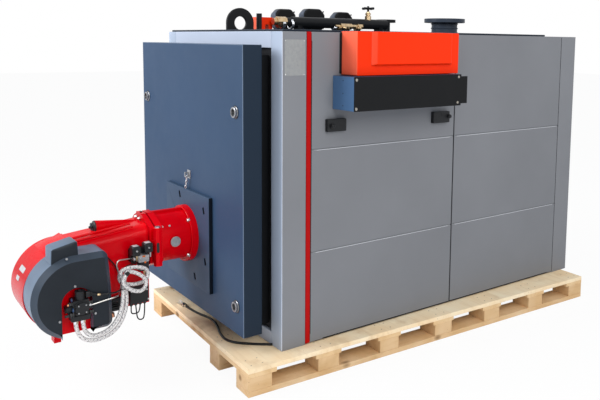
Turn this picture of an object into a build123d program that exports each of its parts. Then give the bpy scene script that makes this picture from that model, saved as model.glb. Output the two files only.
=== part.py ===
from build123d import *
import math
import os

os.makedirs("parts", exist_ok=True)

# Millimetres. Z is up from the floor, the burner side faces -Y, and X = 0 is the middle of the casing.
# Y = 0 is the front face of the casing while the pieces are made; all are moved together at the end.

# Casing
casing_width = 1287
casing_length = 2157
casing_height = 1500
panel_thickness = 22
front_strip_width = 100
lintel_height = 77
sill_height = 65
corner_trim_depth = 132
stripe_depth = 25
stripe_proud = 1
front_panel_share = 0.508
panel_gap = 8
rear_trim_depth = 143
groove_heights_share = (0.3007, 0.632)
groove_width = 4
groove_depth = 3
panel_foot_gap = 6
overrun = 5

# Pallet
pallet_width = 1234
pallet_length = 2326
pallet_turn = 2.1
pallet_side_overhang = 75.5
pallet_front_overhang = 218
deck_thickness = 22
cross_board_thickness = 20
cross_board_width = 145
block_height = 63
block_length = 120
skid_thickness = 26
skid_width = 127
middle_skid_width = 108
middle_skid_inset = 317
pallet_rows = 7

# Pressure vessel on its rails, with the furnace and the smoke tubes
rail_height = 40
rail_width = 80
rail_spacing = 900
rail_inset = 60
furnace_diameter = 560
furnace_back = 613
furnace_height = 460
tube_diameter = 64
tube_depth = 260
tube_columns = 7
tube_rows = 3
tube_sides = 8
tube_pitch = 118
tube_rows_drop = 490

# Top covers and flow nozzle
cover_thickness = 10
cover_inset = 14
cover_back = 287
nozzle_back = 523
nozzle_bore = 150
nozzle_outer = 168.3
nozzle_flange_diameter = 265
nozzle_flange_thickness = 26
nozzle_height = 110
nozzle_bolt_circle = 225
nozzle_bolt_count = 8
nozzle_bolt_hole = 18
hole_clearance = 4

# Flue collar at the rear
flue_diameter = 300
flue_wall = 4
flue_reach = 110
flue_drop = 380
flue_depth = 180

# Lifting eye
eye_width = 158
eye_height = 126
eye_thickness = 18
eye_hole = 70
eye_y = 130

# Door
door_width_gap = 77
door_head_gap = 62
door_thickness = 97
door_offset = -28
door_gap = 68
door_foot = 80
door_sheet = 4
inner_door_side_gap = 143.5
inner_door_head_gap = 110
inner_door_foot = 90
inner_door_reach = 16
hinge_inset = 33
hinge_y = -52
hinge_pin_diameter = 26
hinge_arm_height = 60
hinge_heights_share = (0.2, 0.8)
hinge_boss_radius = 24
hinge_gap = 0.5
bracket_thickness = 16
bracket_left = 8
arm_half = 10
pin_clearance = 0.3
pin_fit = 0.05
pin_head_height = 6
pin_head_lip = 5

# Door locks and the staple for the safety chain
lock_spread = 535
lock_heights = (215, 1130)
lock_diameter = 50
lock_reach = 14
lock_key_width = 26
lock_key_depth = 10
staple_x = -6
staple_height = 763
staple_plate = (34, 44, 4)
staple_lug = (6, 26, 22)
staple_hole = 12

# Burner plate and burner axis
burner_height = 460
plate_width = 524
plate_height = 487
plate_thickness = 20
plate_foot = 200
slot_places = ((-87, 186), (200, 152), (213, -104), (90, -212))
slot_lean = 20
slot_length = 34
slot_width = 16
burner_tube_diameter = 200
burner_tube_wall = 5
burner_tube_reach = 170
tube_clearance = 6

# Burner neck with its flange and hinge
neck_flange_diameter = 290
neck_flange_thickness = 30
neck_diameter = 250
tube_seat_gap = 0.3
neck_end = -405
swing_x = 166
swing_y = -408
knuckle_diameter = 40
knuckle_length = 62
swing_pin_diameter = 18
swing_gap = 6
joint_flange_thickness = 34
moving_flange_thickness = 25
joint_flange_diameter = 270
joint_lug_low = -44
joint_lug_high = 22
joint_lug_top = 136
ear_radius = 20
ear_x = 121
ear_spread = 73
lug_run = 40
neck_rib_half = 9
neck_rib_rise = 12
sight_y = -303
sight_diameter = 54
sight_reach = 133
head_diameter = 120
head_length = 90

# Burner housing: a spiral scroll, its duct and the lower body
scroll_y = -817
scroll_z = 310
scroll_width = 230
scroll_start_radius = 202
scroll_shrink = 10
scroll_tail_angle = 300
body_start = -660
body_foot = 175
body_shoulder = 340
duct_start = -790
duct_low = 335
duct_start_top = 525
duct_end_top = 560
duct_corner = 50
ridge_x = -20
ridge_start = -650
ridge_length = 200
ridge_height = 552
ridge_radius = 32
ridge_taper = 6.3
foot_low = (60, -882, 74)
foot_high = (112, -852, 140)

# Air cover round the fan inlet
cover_radius = 188
cover_y = -818
cover_z = 322
cover_front_top = -674
cover_front = -640
cover_shoulder = 450
cover_toe = 190
cover_heel_y = -715
cover_heel_z = 136
cover_reach = 160
cover_rim_reach = 30
cover_rim_inset = 22
arch_y = -820
arch_z = 305
arch_radius = 66
arch_depth = 46
arch_gap = 1
inlet_plate_thickness = 6
inlet_plate_foot = 158
top_box_reach = (35, 130)
top_box_outline = ((-912, 504), (-912, 567), (-806, 551), (-806, 480))
motor_diameter = 170
motor_length = 210

# Burner fittings: heights are above the pallet deck
damper_length = 40
damper_radius = 30
valve_body = ((-512, 396), (-456, 447), 50)
valve_coils = (((-547, 427), (-494, 491), 52), ((-486, 438), (-436, 497), 52))
valve_foot = ((-508, 359), (-458, 405), 88)
terminal_box_low = (-548, 196)
terminal_box_high = (-455, 280)
terminal_box_reach = 45
pump_low = (-845, 250)
pump_high = (-776, 320)
pump_reach = 65
pump_cap_radius = 27
pump_cap_reach = 14
pump_x = 278
pump_nut_x = 288
pump_coil_y = -810
pump_coil_radius = 21
pump_coil_top = 358
pump_knob_z = 278
pump_knob_radius = 10
pump_knob_length = 30
pump_nut_z = 281
pump_nut_radius = 11
pump_nut_length = 14
pump_outlets = (-831, -800)
pump_outlet_length = 25
coil_middle = (-555, 350)
coil_size = (145, 100)
coil_corner = 24
coil_hole = (66, 24)
coil_start = 212
coil_thickness = 60
hose_diameter = 18
hose_supply_route = (
    (278, -831, 225), (278, -831, 160), (278, -762, 108), (266, -650, 128), (250, -594, 215), (238, -590, 315)
)
hose_return_route = (
    (278, -800, 225), (278, -800, 171), (277, -754, 130), (266, -664, 150), (256, -615, 232), (250, -609, 322)
)
pipe_diameter = 6
pipe_route = (
    (150, -510, 421), (150, -571, 419), (160, -621, 378), (190, -629, 318),
    (280, -640, 280), (288, -715, 272), (288, -764, 281),
)

# Cable lying on the pallet deck with its loose plug
cable_diameter = 12
cable_route = (
    (558, 0), (497, -84), (405, -162), (300, -150), (195, -112), (90, -100), (-20, -132), (-130, -137)
)
plug_sleeve_length = 18
plug_shell_length = 34
plug_shell_width = 24
cord_sides = 6
round_sides = 16
bend_share = 0.45

# Control unit and cable box on the right-hand side
control_start = 327
control_length = 662
control_reach = 129
control_rise = 5
control_height = 206
control_front_start = 408
control_front_length = 530
control_front_foot = 44
control_front_head = 8
control_front_reach = 22
control_front_taper = 30
cable_box_start = 280
cable_box_length = 690
cable_box_reach = 168
cable_box_drop = 204
cable_box_height = 160
plate_sheet = 3
plate_tab_length = 45
plate_tab_inset = 10
gland_plate_starts = (239, 925)
gland_plate_length = 130
gland_plate_drop = 411
gland_plate_height = 60
gland_plate_reach = 22
gland_offsets = (26, 106)
gland_radius = 17
gland_reach = 26

# Fittings on top of the casing: heights are above its top cover
vent_y = 246
vent_diameter = 30
vent_height = 91
blank_x = -150
blank_y = 1255
blank_stub_diameter = 60
blank_stub_height = 68
blank_flange_diameter = 130
blank_flange_thickness = 19
relief_x = -60
relief_start = 247
relief_length = 103
relief_width = 56
relief_height = 73
relief_gap_start = 302
relief_gap_length = 22
relief_gap_height = 34
relief_corner = 6
box_x = -157
box_depth = 57
box_rows = ((407, 545, 126), (597, 748, 134), (817, 954, 122))
box_corner = 28
manifold_start = 449
manifold_end = 1131
manifold_diameter = 60
manifold_height = 50
manifold_neck_diameter = 48
manifold_neck_length = 38
saddle_starts = (480, 1060)
saddle_length = 30
saddle_width = 50
union_diameter = 56
union_start = 352
union_length = 59
union_nose_diameter = 40
union_nose_length = 21
side_fitting_starts = (723, 757, 835, 880)
side_fitting_lengths = (34, 78, 45, 33)
side_fitting_radii = (8, 16, 11, 16)
side_fitting_height = 33
valve_y = 994
valve_body_diameter = 34
valve_body_height = 40
valve_stem_diameter = 14
wheel_diameter = 93
wheel_rim = 10
wheel_thickness = 19
wheel_rise = 139
wheel_spokes = 4
wheel_spoke_width = 9

deck_top = skid_thickness + block_height + cross_board_thickness + deck_thickness
casing_top = deck_top + casing_height
half_width = casing_width / 2
cover_top = casing_top + cover_thickness
front_panel_end = front_panel_share * casing_length
cover_end = casing_length - cover_back
nozzle_y = casing_length - nozzle_back
flue_z = casing_top - flue_drop
furnace_depth = casing_length - 2 * panel_thickness - furnace_back
door_width = casing_width - door_width_gap
door_height = casing_height - door_foot - door_head_gap
inner_door_width = casing_width - 2 * inner_door_side_gap
inner_door_height = casing_height - inner_door_foot - inner_door_head_gap
body_half = half_width - panel_thickness
opening_half = half_width - front_strip_width
vessel_bottom = deck_top + rail_height
vessel_top = casing_top - panel_thickness
stripe_start = corner_trim_depth
panel_start = stripe_start + stripe_depth
rear_panel_start = front_panel_end + panel_gap
rear_trim_start = casing_length - rear_trim_depth
panel_bottom = deck_top + panel_foot_gap
axis_z = deck_top + burner_height

pieces = []


def finish(builder, label):
    builder.part.label = label
    pieces.append(builder)


def block(low, high, mode=Mode.ADD):
    """A plain rectangular block between two corners."""
    size = [b - a for a, b in zip(low, high)]
    middle = tuple((a + b) / 2 for a, b in zip(low, high))
    with Locations(middle):
        Box(*size, mode=mode)


def cord(label, points, radius):
    """A hose, pipe or cable: straight runs joined by tangent arcs."""
    route = [Vector(*point) for point in points]
    runs = [b - a for a, b in zip(route, route[1:])]
    radii = [
        bend_share * min(a.length, b.length) / math.tan(math.radians(a.get_angle(b) / 2))
        for a, b in zip(runs, runs[1:])
    ]
    print(label, "bend radii", [round(bend) for bend in radii])
    with BuildPart() as tube:
        with BuildLine() as path:
            FilletPolyline(*route, radius=radii)
        with BuildSketch(Plane(origin=route[0], z_dir=runs[0])) as section:
            RegularPolygon(radius, cord_sides)
        sweep(section.sketch, path=path.wires()[0])
    print(label, "volume over section times length", tube.part.volume / (section.sketch.area * path.wires()[0].length))
    finish(tube, label)


# Pallet: a plain deck on cross boards, rows of blocks and three long skids, turned a little under the boiler
pallet_frame = Plane(
    origin=(half_width + pallet_side_overhang, -pallet_front_overhang, 0),
    x_dir=Vector(-1, 0, 0).rotate(Axis.Z, -pallet_turn),
    z_dir=(0, 0, 1),
)
row_pitch = (pallet_length - block_length) / (pallet_rows - 1)
skid_rows = ((0, skid_width), (middle_skid_inset, middle_skid_width), (pallet_width - skid_width, skid_width))


def pallet_slab(level, thickness, places):
    """Boards or blocks of one layer of the pallet, each (across, along, width, length)."""
    with BuildSketch(pallet_frame.offset(level)) as layer:
        for across, along, width, length in places:
            with Locations((across + width / 2, -along - length / 2)):
                Rectangle(width, length)
    extrude(layer.sketch, amount=thickness)


with BuildPart() as pallet_deck:
    deck_level = skid_thickness + block_height + cross_board_thickness
    pallet_slab(deck_level, deck_thickness, [(0, 0, pallet_width, pallet_length)])
finish(pallet_deck, "pallet_deck")

board_starts = [
    min(max(0, row * row_pitch + (block_length - cross_board_width) / 2), pallet_length - cross_board_width)
    for row in range(pallet_rows)
]
with BuildPart() as pallet_cross_boards:
    boards = [(0, start, pallet_width, cross_board_width) for start in board_starts]
    pallet_slab(skid_thickness + block_height, cross_board_thickness, boards)
finish(pallet_cross_boards, "pallet_cross_boards")

with BuildPart() as pallet_blocks:
    blocks = [
        (across, row * row_pitch, width, block_length)
        for across, width in skid_rows
        for row in range(pallet_rows)
    ]
    pallet_slab(skid_thickness, block_height, blocks)
finish(pallet_blocks, "pallet_blocks")

with BuildPart() as pallet_skids:
    pallet_slab(0, skid_thickness, [(across, 0, width, pallet_length) for across, width in skid_rows])
finish(pallet_skids, "pallet_skids")

# Two rails carry the vessel on the deck
with BuildPart() as base_rails:
    for side in (-1, 1):
        middle = side * rail_spacing / 2
        block(
            (middle - rail_width / 2, rail_inset, deck_top),
            (middle + rail_width / 2, casing_length - rail_inset, vessel_bottom),
        )
finish(base_rails, "base_rails")

# The insulated vessel fills the casing; the furnace, the smoke tubes and the flue outlet open into it
front_plane = Plane(origin=(0, panel_thickness, 0), x_dir=(1, 0, 0), z_dir=(0, -1, 0))
rear_plane = Plane(origin=(0, casing_length - panel_thickness, 0), x_dir=(-1, 0, 0), z_dir=(0, 1, 0))
with BuildPart() as vessel:
    block(
        (-body_half, panel_thickness, vessel_bottom),
        (body_half, casing_length - panel_thickness, vessel_top),
    )
    with BuildSketch(front_plane):
        with Locations((0, axis_z)):
            Circle(furnace_diameter / 2)
    extrude(amount=-furnace_depth, mode=Mode.SUBTRACT)
    with BuildSketch(front_plane):
        with Locations((0, casing_top - tube_rows_drop)):
            with GridLocations(tube_pitch, tube_pitch, tube_columns, tube_rows):
                RegularPolygon(tube_diameter / 2, tube_sides)
    extrude(amount=-tube_depth, mode=Mode.SUBTRACT)
    with BuildSketch(rear_plane):
        with Locations((0, flue_z)):
            Circle(flue_diameter / 2 - 2 * flue_wall)
    extrude(amount=-flue_depth, mode=Mode.SUBTRACT)
    with BuildSketch(Plane.XY.offset(vessel_top)):
        with Locations((0, nozzle_y)):
            Circle((nozzle_bore + nozzle_outer) / 4)
    extrude(amount=-flue_depth, mode=Mode.SUBTRACT)
finish(vessel, "insulated_vessel")

# Casing sheets: bent corner trims, strips above and below the door opening, stripes, panels and top
sides = (1, -1)
with BuildPart() as front_corner_trims:
    for side in sides:
        with BuildSketch(Plane.XY.offset(deck_top)):
            with BuildLine():
                Polyline(
                    (side * opening_half, 0),
                    (side * half_width, 0),
                    (side * half_width, corner_trim_depth),
                    (side * body_half, corner_trim_depth),
                    (side * body_half, panel_thickness),
                    (side * opening_half, panel_thickness),
                    close=True,
                )
            make_face()
        extrude(amount=casing_height)
finish(front_corner_trims, "front_corner_trims")

with BuildPart() as rear_corner_trims:
    for side in sides:
        with BuildSketch(Plane.XY.offset(deck_top)):
            with BuildLine():
                Polyline(
                    (side * half_width, rear_trim_start),
                    (side * half_width, casing_length),
                    (side * opening_half, casing_length),
                    (side * opening_half, casing_length - panel_thickness),
                    (side * body_half, casing_length - panel_thickness),
                    (side * body_half, rear_trim_start),
                    close=True,
                )
            make_face()
        extrude(amount=casing_height)
finish(rear_corner_trims, "rear_corner_trims")

with BuildPart() as stripes:
    for side in sides:
        with Locations((side * (half_width + stripe_proud), (stripe_start + panel_start) / 2, panel_bottom)):
            Box(
                panel_thickness + stripe_proud,
                stripe_depth,
                casing_top - panel_bottom,
                align=(Align.MAX if side > 0 else Align.MIN, Align.CENTER, Align.MIN),
            )
finish(stripes, "stripes")

for side, name in ((1, "right"), (-1, "left")):
    with BuildPart() as side_panels:
        for start, end in ((panel_start, front_panel_end), (rear_panel_start, rear_trim_start)):
            block(
                (min(side * body_half, side * half_width), start, panel_bottom),
                (max(side * body_half, side * half_width), end, casing_top),
            )
            for share in groove_heights_share:
                with Locations((side * half_width, (start + end) / 2, deck_top + share * casing_height)):
                    Box(2 * groove_depth, end - start + panel_gap, groove_width, mode=Mode.SUBTRACT)
    finish(side_panels, f"side_panels_{name}")

with BuildPart() as front_cross_strips:
    block((-opening_half, 0, casing_top - lintel_height), (opening_half, panel_thickness, casing_top))
    block((-opening_half, 0, deck_top), (opening_half, panel_thickness, deck_top + sill_height))
finish(front_cross_strips, "front_cross_strips")

with BuildPart() as rear_panel:
    block(
        (-opening_half, casing_length - panel_thickness, panel_bottom),
        (opening_half, casing_length, casing_top),
    )
    with BuildSketch(rear_plane):
        with Locations((0, flue_z)):
            Circle(flue_diameter / 2)
    extrude(amount=panel_thickness, mode=Mode.SUBTRACT)
finish(rear_panel, "rear_panel")

with BuildPart() as flue_collar:
    with BuildSketch(rear_plane):
        with Locations((0, flue_z)):
            Circle(flue_diameter / 2)
            Circle(flue_diameter / 2 - flue_wall, mode=Mode.SUBTRACT)
    extrude(amount=panel_thickness + flue_reach)
finish(flue_collar, "flue_collar")

neck_hole = nozzle_outer / 2 + hole_clearance
with BuildPart() as top_panel:
    block(
        (-body_half, panel_thickness, vessel_top),
        (body_half, casing_length - panel_thickness, casing_top),
    )
    with BuildSketch(Plane.XY.offset(vessel_top)):
        with Locations((0, nozzle_y)):
            Circle(neck_hole)
        with Locations((0, eye_y)):
            Rectangle(eye_thickness + hole_clearance, eye_width + hole_clearance)
    extrude(amount=panel_thickness, mode=Mode.SUBTRACT)
finish(top_panel, "top_panel")

with BuildPart() as top_cover:
    block(
        (-half_width + cover_inset, cover_inset, casing_top),
        (half_width - cover_inset, cover_end, casing_top + cover_thickness),
    )
    with BuildSketch(Plane.XY.offset(casing_top)):
        with Locations((0, nozzle_y)):
            Circle(neck_hole)
        with Locations((0, eye_y)):
            Rectangle(eye_thickness + hole_clearance, eye_width + hole_clearance)
    extrude(amount=cover_thickness, mode=Mode.SUBTRACT)
finish(top_cover, "top_cover")

# Flanged flow nozzle, welded to the vessel
with BuildPart() as flow_nozzle:
    with BuildSketch(Plane.XY.offset(vessel_top)):
        with Locations((0, nozzle_y)):
            Circle(nozzle_outer / 2)
    extrude(amount=panel_thickness + nozzle_height)
    with BuildSketch(Plane.XY.offset(casing_top + nozzle_height)):
        with Locations((0, nozzle_y)):
            Circle(nozzle_flange_diameter / 2)
            with PolarLocations(nozzle_bolt_circle / 2, nozzle_bolt_count, start_angle=22.5):
                Circle(nozzle_bolt_hole / 2, mode=Mode.SUBTRACT)
    extrude(amount=-nozzle_flange_thickness)
    with BuildSketch(Plane.XY.offset(casing_top + nozzle_height)):
        with Locations((0, nozzle_y)):
            Circle(nozzle_bore / 2)
    extrude(amount=-(nozzle_height + panel_thickness), mode=Mode.SUBTRACT)
finish(flow_nozzle, "flow_nozzle")

# Lifting eye: a round-topped plate with a hole, welded to the vessel through the covers
with BuildPart() as lifting_eye:
    eye_top = casing_top + eye_height
    with BuildSketch(Plane.YZ.offset(-eye_thickness / 2)):
        with BuildLine():
            radius = eye_width / 2
            Polyline(
                (eye_y - radius, eye_top - radius),
                (eye_y - radius, vessel_top),
                (eye_y + radius, vessel_top),
                (eye_y + radius, eye_top - radius),
            )
            ThreePointArc((eye_y + radius, eye_top - radius), (eye_y, eye_top), (eye_y - radius, eye_top - radius))
        make_face()
        with Locations((eye_y, eye_top - radius)):
            Circle(eye_hole / 2, mode=Mode.SUBTRACT)
    extrude(amount=eye_thickness)
finish(lifting_eye, "lifting_eye")

# Fittings on the top cover: vent stub, blanked flange, relief valve and three sensor boxes
with BuildPart() as stub_nozzles:
    with BuildSketch(Plane.XY.offset(cover_top)):
        with Locations((0, vent_y)):
            RegularPolygon(vent_diameter / 2, round_sides)
    extrude(amount=vent_height)
    with BuildSketch(Plane.XY.offset(cover_top)):
        with Locations((blank_x, blank_y)):
            RegularPolygon(blank_stub_diameter / 2, round_sides)
    extrude(amount=blank_stub_height)
    with BuildSketch(Plane.XY.offset(cover_top + blank_stub_height)):
        with Locations((blank_x, blank_y)):
            RegularPolygon(blank_flange_diameter / 2, round_sides)
    extrude(amount=blank_flange_thickness)
finish(stub_nozzles, "stub_nozzles")

with BuildPart() as relief_valve:
    with BuildSketch(Plane.XY.offset(cover_top)):
        with Locations((relief_x, relief_start + relief_length / 2)):
            RectangleRounded(relief_width, relief_length, relief_corner)
    extrude(amount=relief_height)
    block(
        (relief_x - relief_width / 2, relief_gap_start, cover_top),
        (relief_x + relief_width / 2, relief_gap_start + relief_gap_length, cover_top + relief_gap_height),
        mode=Mode.SUBTRACT,
    )
finish(relief_valve, "relief_valve")

with BuildPart() as junction_boxes:
    for start, end, height in box_rows:
        with BuildSketch(Plane.YZ.offset(box_x)) as outline:
            with Locations(((start + end) / 2, cover_top + height / 2)):
                Rectangle(end - start, height)
            chamfer(outline.vertices().group_by(Axis.Z)[-1], box_corner)
        extrude(amount=box_depth)
finish(junction_boxes, "junction_boxes")

# Manifold pipe on two saddles, with its fittings and the hand-wheel valve
manifold_z = cover_top + manifold_height
front_end = Plane(origin=(0, manifold_start, manifold_z), x_dir=(1, 0, 0), z_dir=(0, -1, 0))
with BuildPart() as manifold_pipe:
    with BuildSketch(front_end):
        Circle(manifold_diameter / 2)
    extrude(amount=-(manifold_end - manifold_start))
    with BuildSketch(front_end):
        Circle(manifold_neck_diameter / 2)
    extrude(amount=manifold_neck_length)
    for start in saddle_starts:
        block((-saddle_width / 2, start, cover_top), (saddle_width / 2, start + saddle_length, manifold_z))
finish(manifold_pipe, "manifold_pipe")

side_drop = manifold_height - side_fitting_height
side_radius = manifold_diameter / 2 + max(side_fitting_radii)
side_fitting_x = math.sqrt(side_radius ** 2 - side_drop ** 2)
with BuildPart() as pipe_fittings:
    with BuildSketch(front_end.offset(manifold_neck_length)):
        RegularPolygon(union_diameter / 2, 8)
    extrude(amount=union_length)
    with BuildSketch(front_end.offset(manifold_neck_length + union_length)):
        Circle(union_nose_diameter / 2)
    extrude(amount=union_nose_length)
    for start, length, radius in zip(side_fitting_starts, side_fitting_lengths, side_fitting_radii):
        with BuildSketch(front_end.offset(manifold_start - start)):
            with Locations((side_fitting_x, -side_drop)):
                Circle(radius)
        extrude(amount=-length)
finish(pipe_fittings, "pipe_fittings")

with BuildPart() as handwheel_valve:
    wheel_level = cover_top + wheel_rise
    with BuildSketch(Plane.XY.offset(manifold_z)):
        with Locations((0, valve_y)):
            RegularPolygon(valve_body_diameter / 2, 6)
    extrude(amount=manifold_diameter / 2 + valve_body_height)
    with BuildSketch(front_end):
        Circle(manifold_diameter / 2)
    extrude(amount=-(manifold_end - manifold_start), mode=Mode.SUBTRACT)
    with BuildSketch(Plane.XY.offset(manifold_z + manifold_diameter / 2 + valve_body_height)):
        with Locations((0, valve_y)):
            RegularPolygon(valve_stem_diameter / 2, 8)
    extrude(amount=wheel_level - manifold_z - manifold_diameter / 2 - valve_body_height)
    with BuildSketch(Plane.XY.offset(wheel_level)):
        with Locations((0, valve_y)):
            RegularPolygon(wheel_diameter / 2, round_sides)
            RegularPolygon(wheel_diameter / 2 - wheel_rim, round_sides, mode=Mode.SUBTRACT)
            with PolarLocations(0, wheel_spokes // 2, angular_range=180):
                Rectangle(wheel_diameter - wheel_rim, wheel_spoke_width)
    extrude(amount=wheel_thickness)
finish(handwheel_valve, "handwheel_valve")

# Control unit with its raised front, above its cable box on the right-hand side
side_x = half_width
control_top = casing_top + control_rise
with BuildPart() as control_unit:
    block(
        (side_x, control_start, control_top - control_height),
        (side_x + control_reach, control_start + control_length, control_top),
    )
    with BuildSketch(Plane.YZ.offset(side_x + control_reach)):
        with Locations((
            control_front_start + control_front_length / 2,
            control_top - (control_front_head + control_height - control_front_foot) / 2 - control_front_head / 2,
        )):
            Rectangle(control_front_length, control_height - control_front_foot - control_front_head)
    extrude(amount=control_front_reach, taper=control_front_taper)
finish(control_unit, "control_unit")

cable_box_top = casing_top - cable_box_drop
cable_box_bottom = cable_box_top - cable_box_height
with BuildPart() as cable_box:
    block(
        (side_x, cable_box_start, cable_box_bottom),
        (side_x + cable_box_reach, cable_box_start + cable_box_length, cable_box_top),
    )
finish(cable_box, "cable_box")

with BuildPart() as cable_box_plate:
    block(
        (side_x + cable_box_reach, cable_box_start, cable_box_bottom),
        (side_x + cable_box_reach + plate_sheet, cable_box_start + cable_box_length, cable_box_top),
    )
    block(
        (side_x + cable_box_reach, cable_box_start + cable_box_length, cable_box_bottom + plate_tab_inset),
        (
            side_x + cable_box_reach + plate_sheet,
            cable_box_start + cable_box_length + plate_tab_length,
            cable_box_top - plate_tab_inset,
        ),
    )
finish(cable_box_plate, "cable_box_plate")

# Two cable entries below the cable box, each a block with one gland
gland_plate_top = casing_top - gland_plate_drop
with BuildPart() as gland_plates:
    for start, offset in zip(gland_plate_starts, gland_offsets):
        block(
            (side_x, start, gland_plate_top - gland_plate_height),
            (side_x + gland_plate_reach, start + gland_plate_length, gland_plate_top),
        )
        with BuildSketch(Plane.YZ.offset(side_x + gland_plate_reach)):
            with Locations((start + offset, gland_plate_top - gland_plate_height / 2)):
                RegularPolygon(gland_radius, round_sides)
        extrude(amount=gland_reach)
finish(gland_plates, "gland_plates")

# Door: a sheet cover around an insulated steel door, hung on two arms at its left
door_left = door_offset - door_width / 2
door_right = door_offset + door_width / 2
door_front = -door_gap - door_thickness
door_bottom = deck_top + door_foot
door_top = door_bottom + door_height
hinge_x = door_left + hinge_inset
tube_hole = burner_tube_diameter / 2 + tube_clearance
burner_plane = Plane(origin=(0, 0, axis_z), x_dir=(1, 0, 0), z_dir=(0, -1, 0))

with BuildPart() as door_cover:
    block((door_left, door_front, door_bottom), (door_right, -door_gap, door_top))
    block(
        (door_left + door_sheet, door_front + door_sheet, door_bottom + door_sheet),
        (door_right - door_sheet, -door_gap + overrun, door_top - door_sheet),
        mode=Mode.SUBTRACT,
    )
    with BuildSketch(burner_plane.offset(-door_front)):
        Circle(tube_hole)
    extrude(amount=-door_sheet, mode=Mode.SUBTRACT)
finish(door_cover, "door_cover")

with BuildPart() as inner_door:
    block(
        (-inner_door_width / 2, door_front + door_sheet, deck_top + inner_door_foot),
        (inner_door_width / 2, inner_door_reach, deck_top + inner_door_foot + inner_door_height),
    )
    with BuildSketch(burner_plane.offset(-door_front)):
        Circle(tube_hole)
    extrude(amount=-(inner_door_reach - door_front + overrun), mode=Mode.SUBTRACT)
finish(inner_door, "inner_door")

# Hinge: two arms on the door turn on pins held by brackets on the front frame
hinge_levels = [door_bottom + share * door_height for share in hinge_heights_share]
pin_radius = hinge_pin_diameter / 2
with BuildPart() as hinge_brackets:
    for level in hinge_levels:
        for place in (-1, 1):
            low = level + place * (hinge_arm_height / 2 + hinge_gap + bracket_thickness / 2) - bracket_thickness / 2
            with BuildSketch(Plane.XY.offset(low)):
                with Locations((hinge_x + (hinge_boss_radius - bracket_left) / 2, hinge_y / 2)):
                    Rectangle(hinge_boss_radius + bracket_left, -hinge_y)
                with Locations((hinge_x, hinge_y)):
                    RegularPolygon(hinge_boss_radius, 8, major_radius=False)
                    Circle(pin_radius + pin_fit, mode=Mode.SUBTRACT)
            extrude(amount=bracket_thickness)
finish(hinge_brackets, "hinge_brackets")

with BuildPart() as hinge_pins:
    for level in hinge_levels:
        half_pin = hinge_arm_height / 2 + hinge_gap + bracket_thickness
        with BuildSketch(Plane.XY.offset(level - half_pin)):
            with Locations((hinge_x, hinge_y)):
                Circle(pin_radius)
        extrude(amount=2 * half_pin)
        with BuildSketch(Plane.XY.offset(level + half_pin)):
            with Locations((hinge_x, hinge_y)):
                RegularPolygon(pin_radius + pin_head_lip, 6)
        extrude(amount=pin_head_height)
finish(hinge_pins, "hinge_pins")

with BuildPart() as hinge_arms:
    for level in hinge_levels:
        with BuildSketch(Plane.XY.offset(level - hinge_arm_height / 2)):
            with Locations((hinge_x, hinge_y)):
                Circle(hinge_boss_radius)
            with BuildLine():
                Polyline(
                    (hinge_x, hinge_y - hinge_boss_radius),
                    (-inner_door_width / 2, hinge_y - hinge_boss_radius),
                    (-inner_door_width / 2, hinge_y + arm_half),
                    (hinge_x, hinge_y + arm_half),
                    close=True,
                )
            make_face()
            with Locations((hinge_x, hinge_y)):
                Circle(pin_radius + pin_clearance, mode=Mode.SUBTRACT)
        extrude(amount=hinge_arm_height)
finish(hinge_arms, "hinge_arms")

# Four door locks, each with a socket for a hexagon key, and the staple for the chain
door_face = Plane(origin=(0, door_front, deck_top), x_dir=(1, 0, 0), z_dir=(0, -1, 0))
with BuildPart() as door_locks:
    for side in (-1, 1):
        for height in lock_heights:
            with BuildSketch(door_face):
                with Locations((door_offset + side * lock_spread, height)):
                    Circle(lock_diameter / 2)
            extrude(amount=lock_reach)
            with BuildSketch(door_face.offset(lock_reach)):
                with Locations((door_offset + side * lock_spread, height)):
                    RegularPolygon(lock_key_width / 2, 6)
            extrude(amount=-lock_key_depth, mode=Mode.SUBTRACT)
finish(door_locks, "door_locks")

with BuildPart() as door_staple:
    with BuildSketch(door_face):
        with Locations((staple_x, staple_height)):
            Rectangle(staple_plate[0], staple_plate[1])
    extrude(amount=staple_plate[2])
    with BuildSketch(door_face.offset(staple_plate[2])):
        with Locations((staple_x, staple_height)):
            Rectangle(staple_lug[0], staple_lug[1])
    extrude(amount=staple_lug[2])
    with BuildSketch(Plane.YZ.offset(staple_x - staple_lug[0])):
        with Locations((door_front - staple_plate[2] - staple_lug[2] / 2, deck_top + staple_height)):
            RegularPolygon(staple_hole / 2, 6)
    extrude(amount=2 * staple_lug[0], mode=Mode.SUBTRACT)
finish(door_staple, "door_staple")

# Burner plate on the door, with slanted slots round the burner tube
plate_front = door_front - plate_thickness
plate_middle = deck_top + plate_foot + plate_height / 2 - axis_z
with BuildPart() as burner_plate:
    with BuildSketch(burner_plane.offset(-door_front)):
        with Locations((0, plate_middle)):
            Rectangle(plate_width, plate_height)
        Circle(tube_hole, mode=Mode.SUBTRACT)
        for across, up in slot_places:
            with Locations(Location((across, up, 0), slot_lean)):
                Rectangle(slot_width, slot_length, mode=Mode.SUBTRACT)
    extrude(amount=plate_thickness)
finish(burner_plate, "burner_plate")

with BuildPart() as burner_tube:
    with BuildSketch(burner_plane.offset(-burner_tube_reach)):
        Circle(burner_tube_diameter / 2)
        Circle(burner_tube_diameter / 2 - burner_tube_wall, mode=Mode.SUBTRACT)
    extrude(amount=burner_tube_reach - plate_front + neck_flange_thickness)
finish(burner_tube, "burner_tube")

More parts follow.
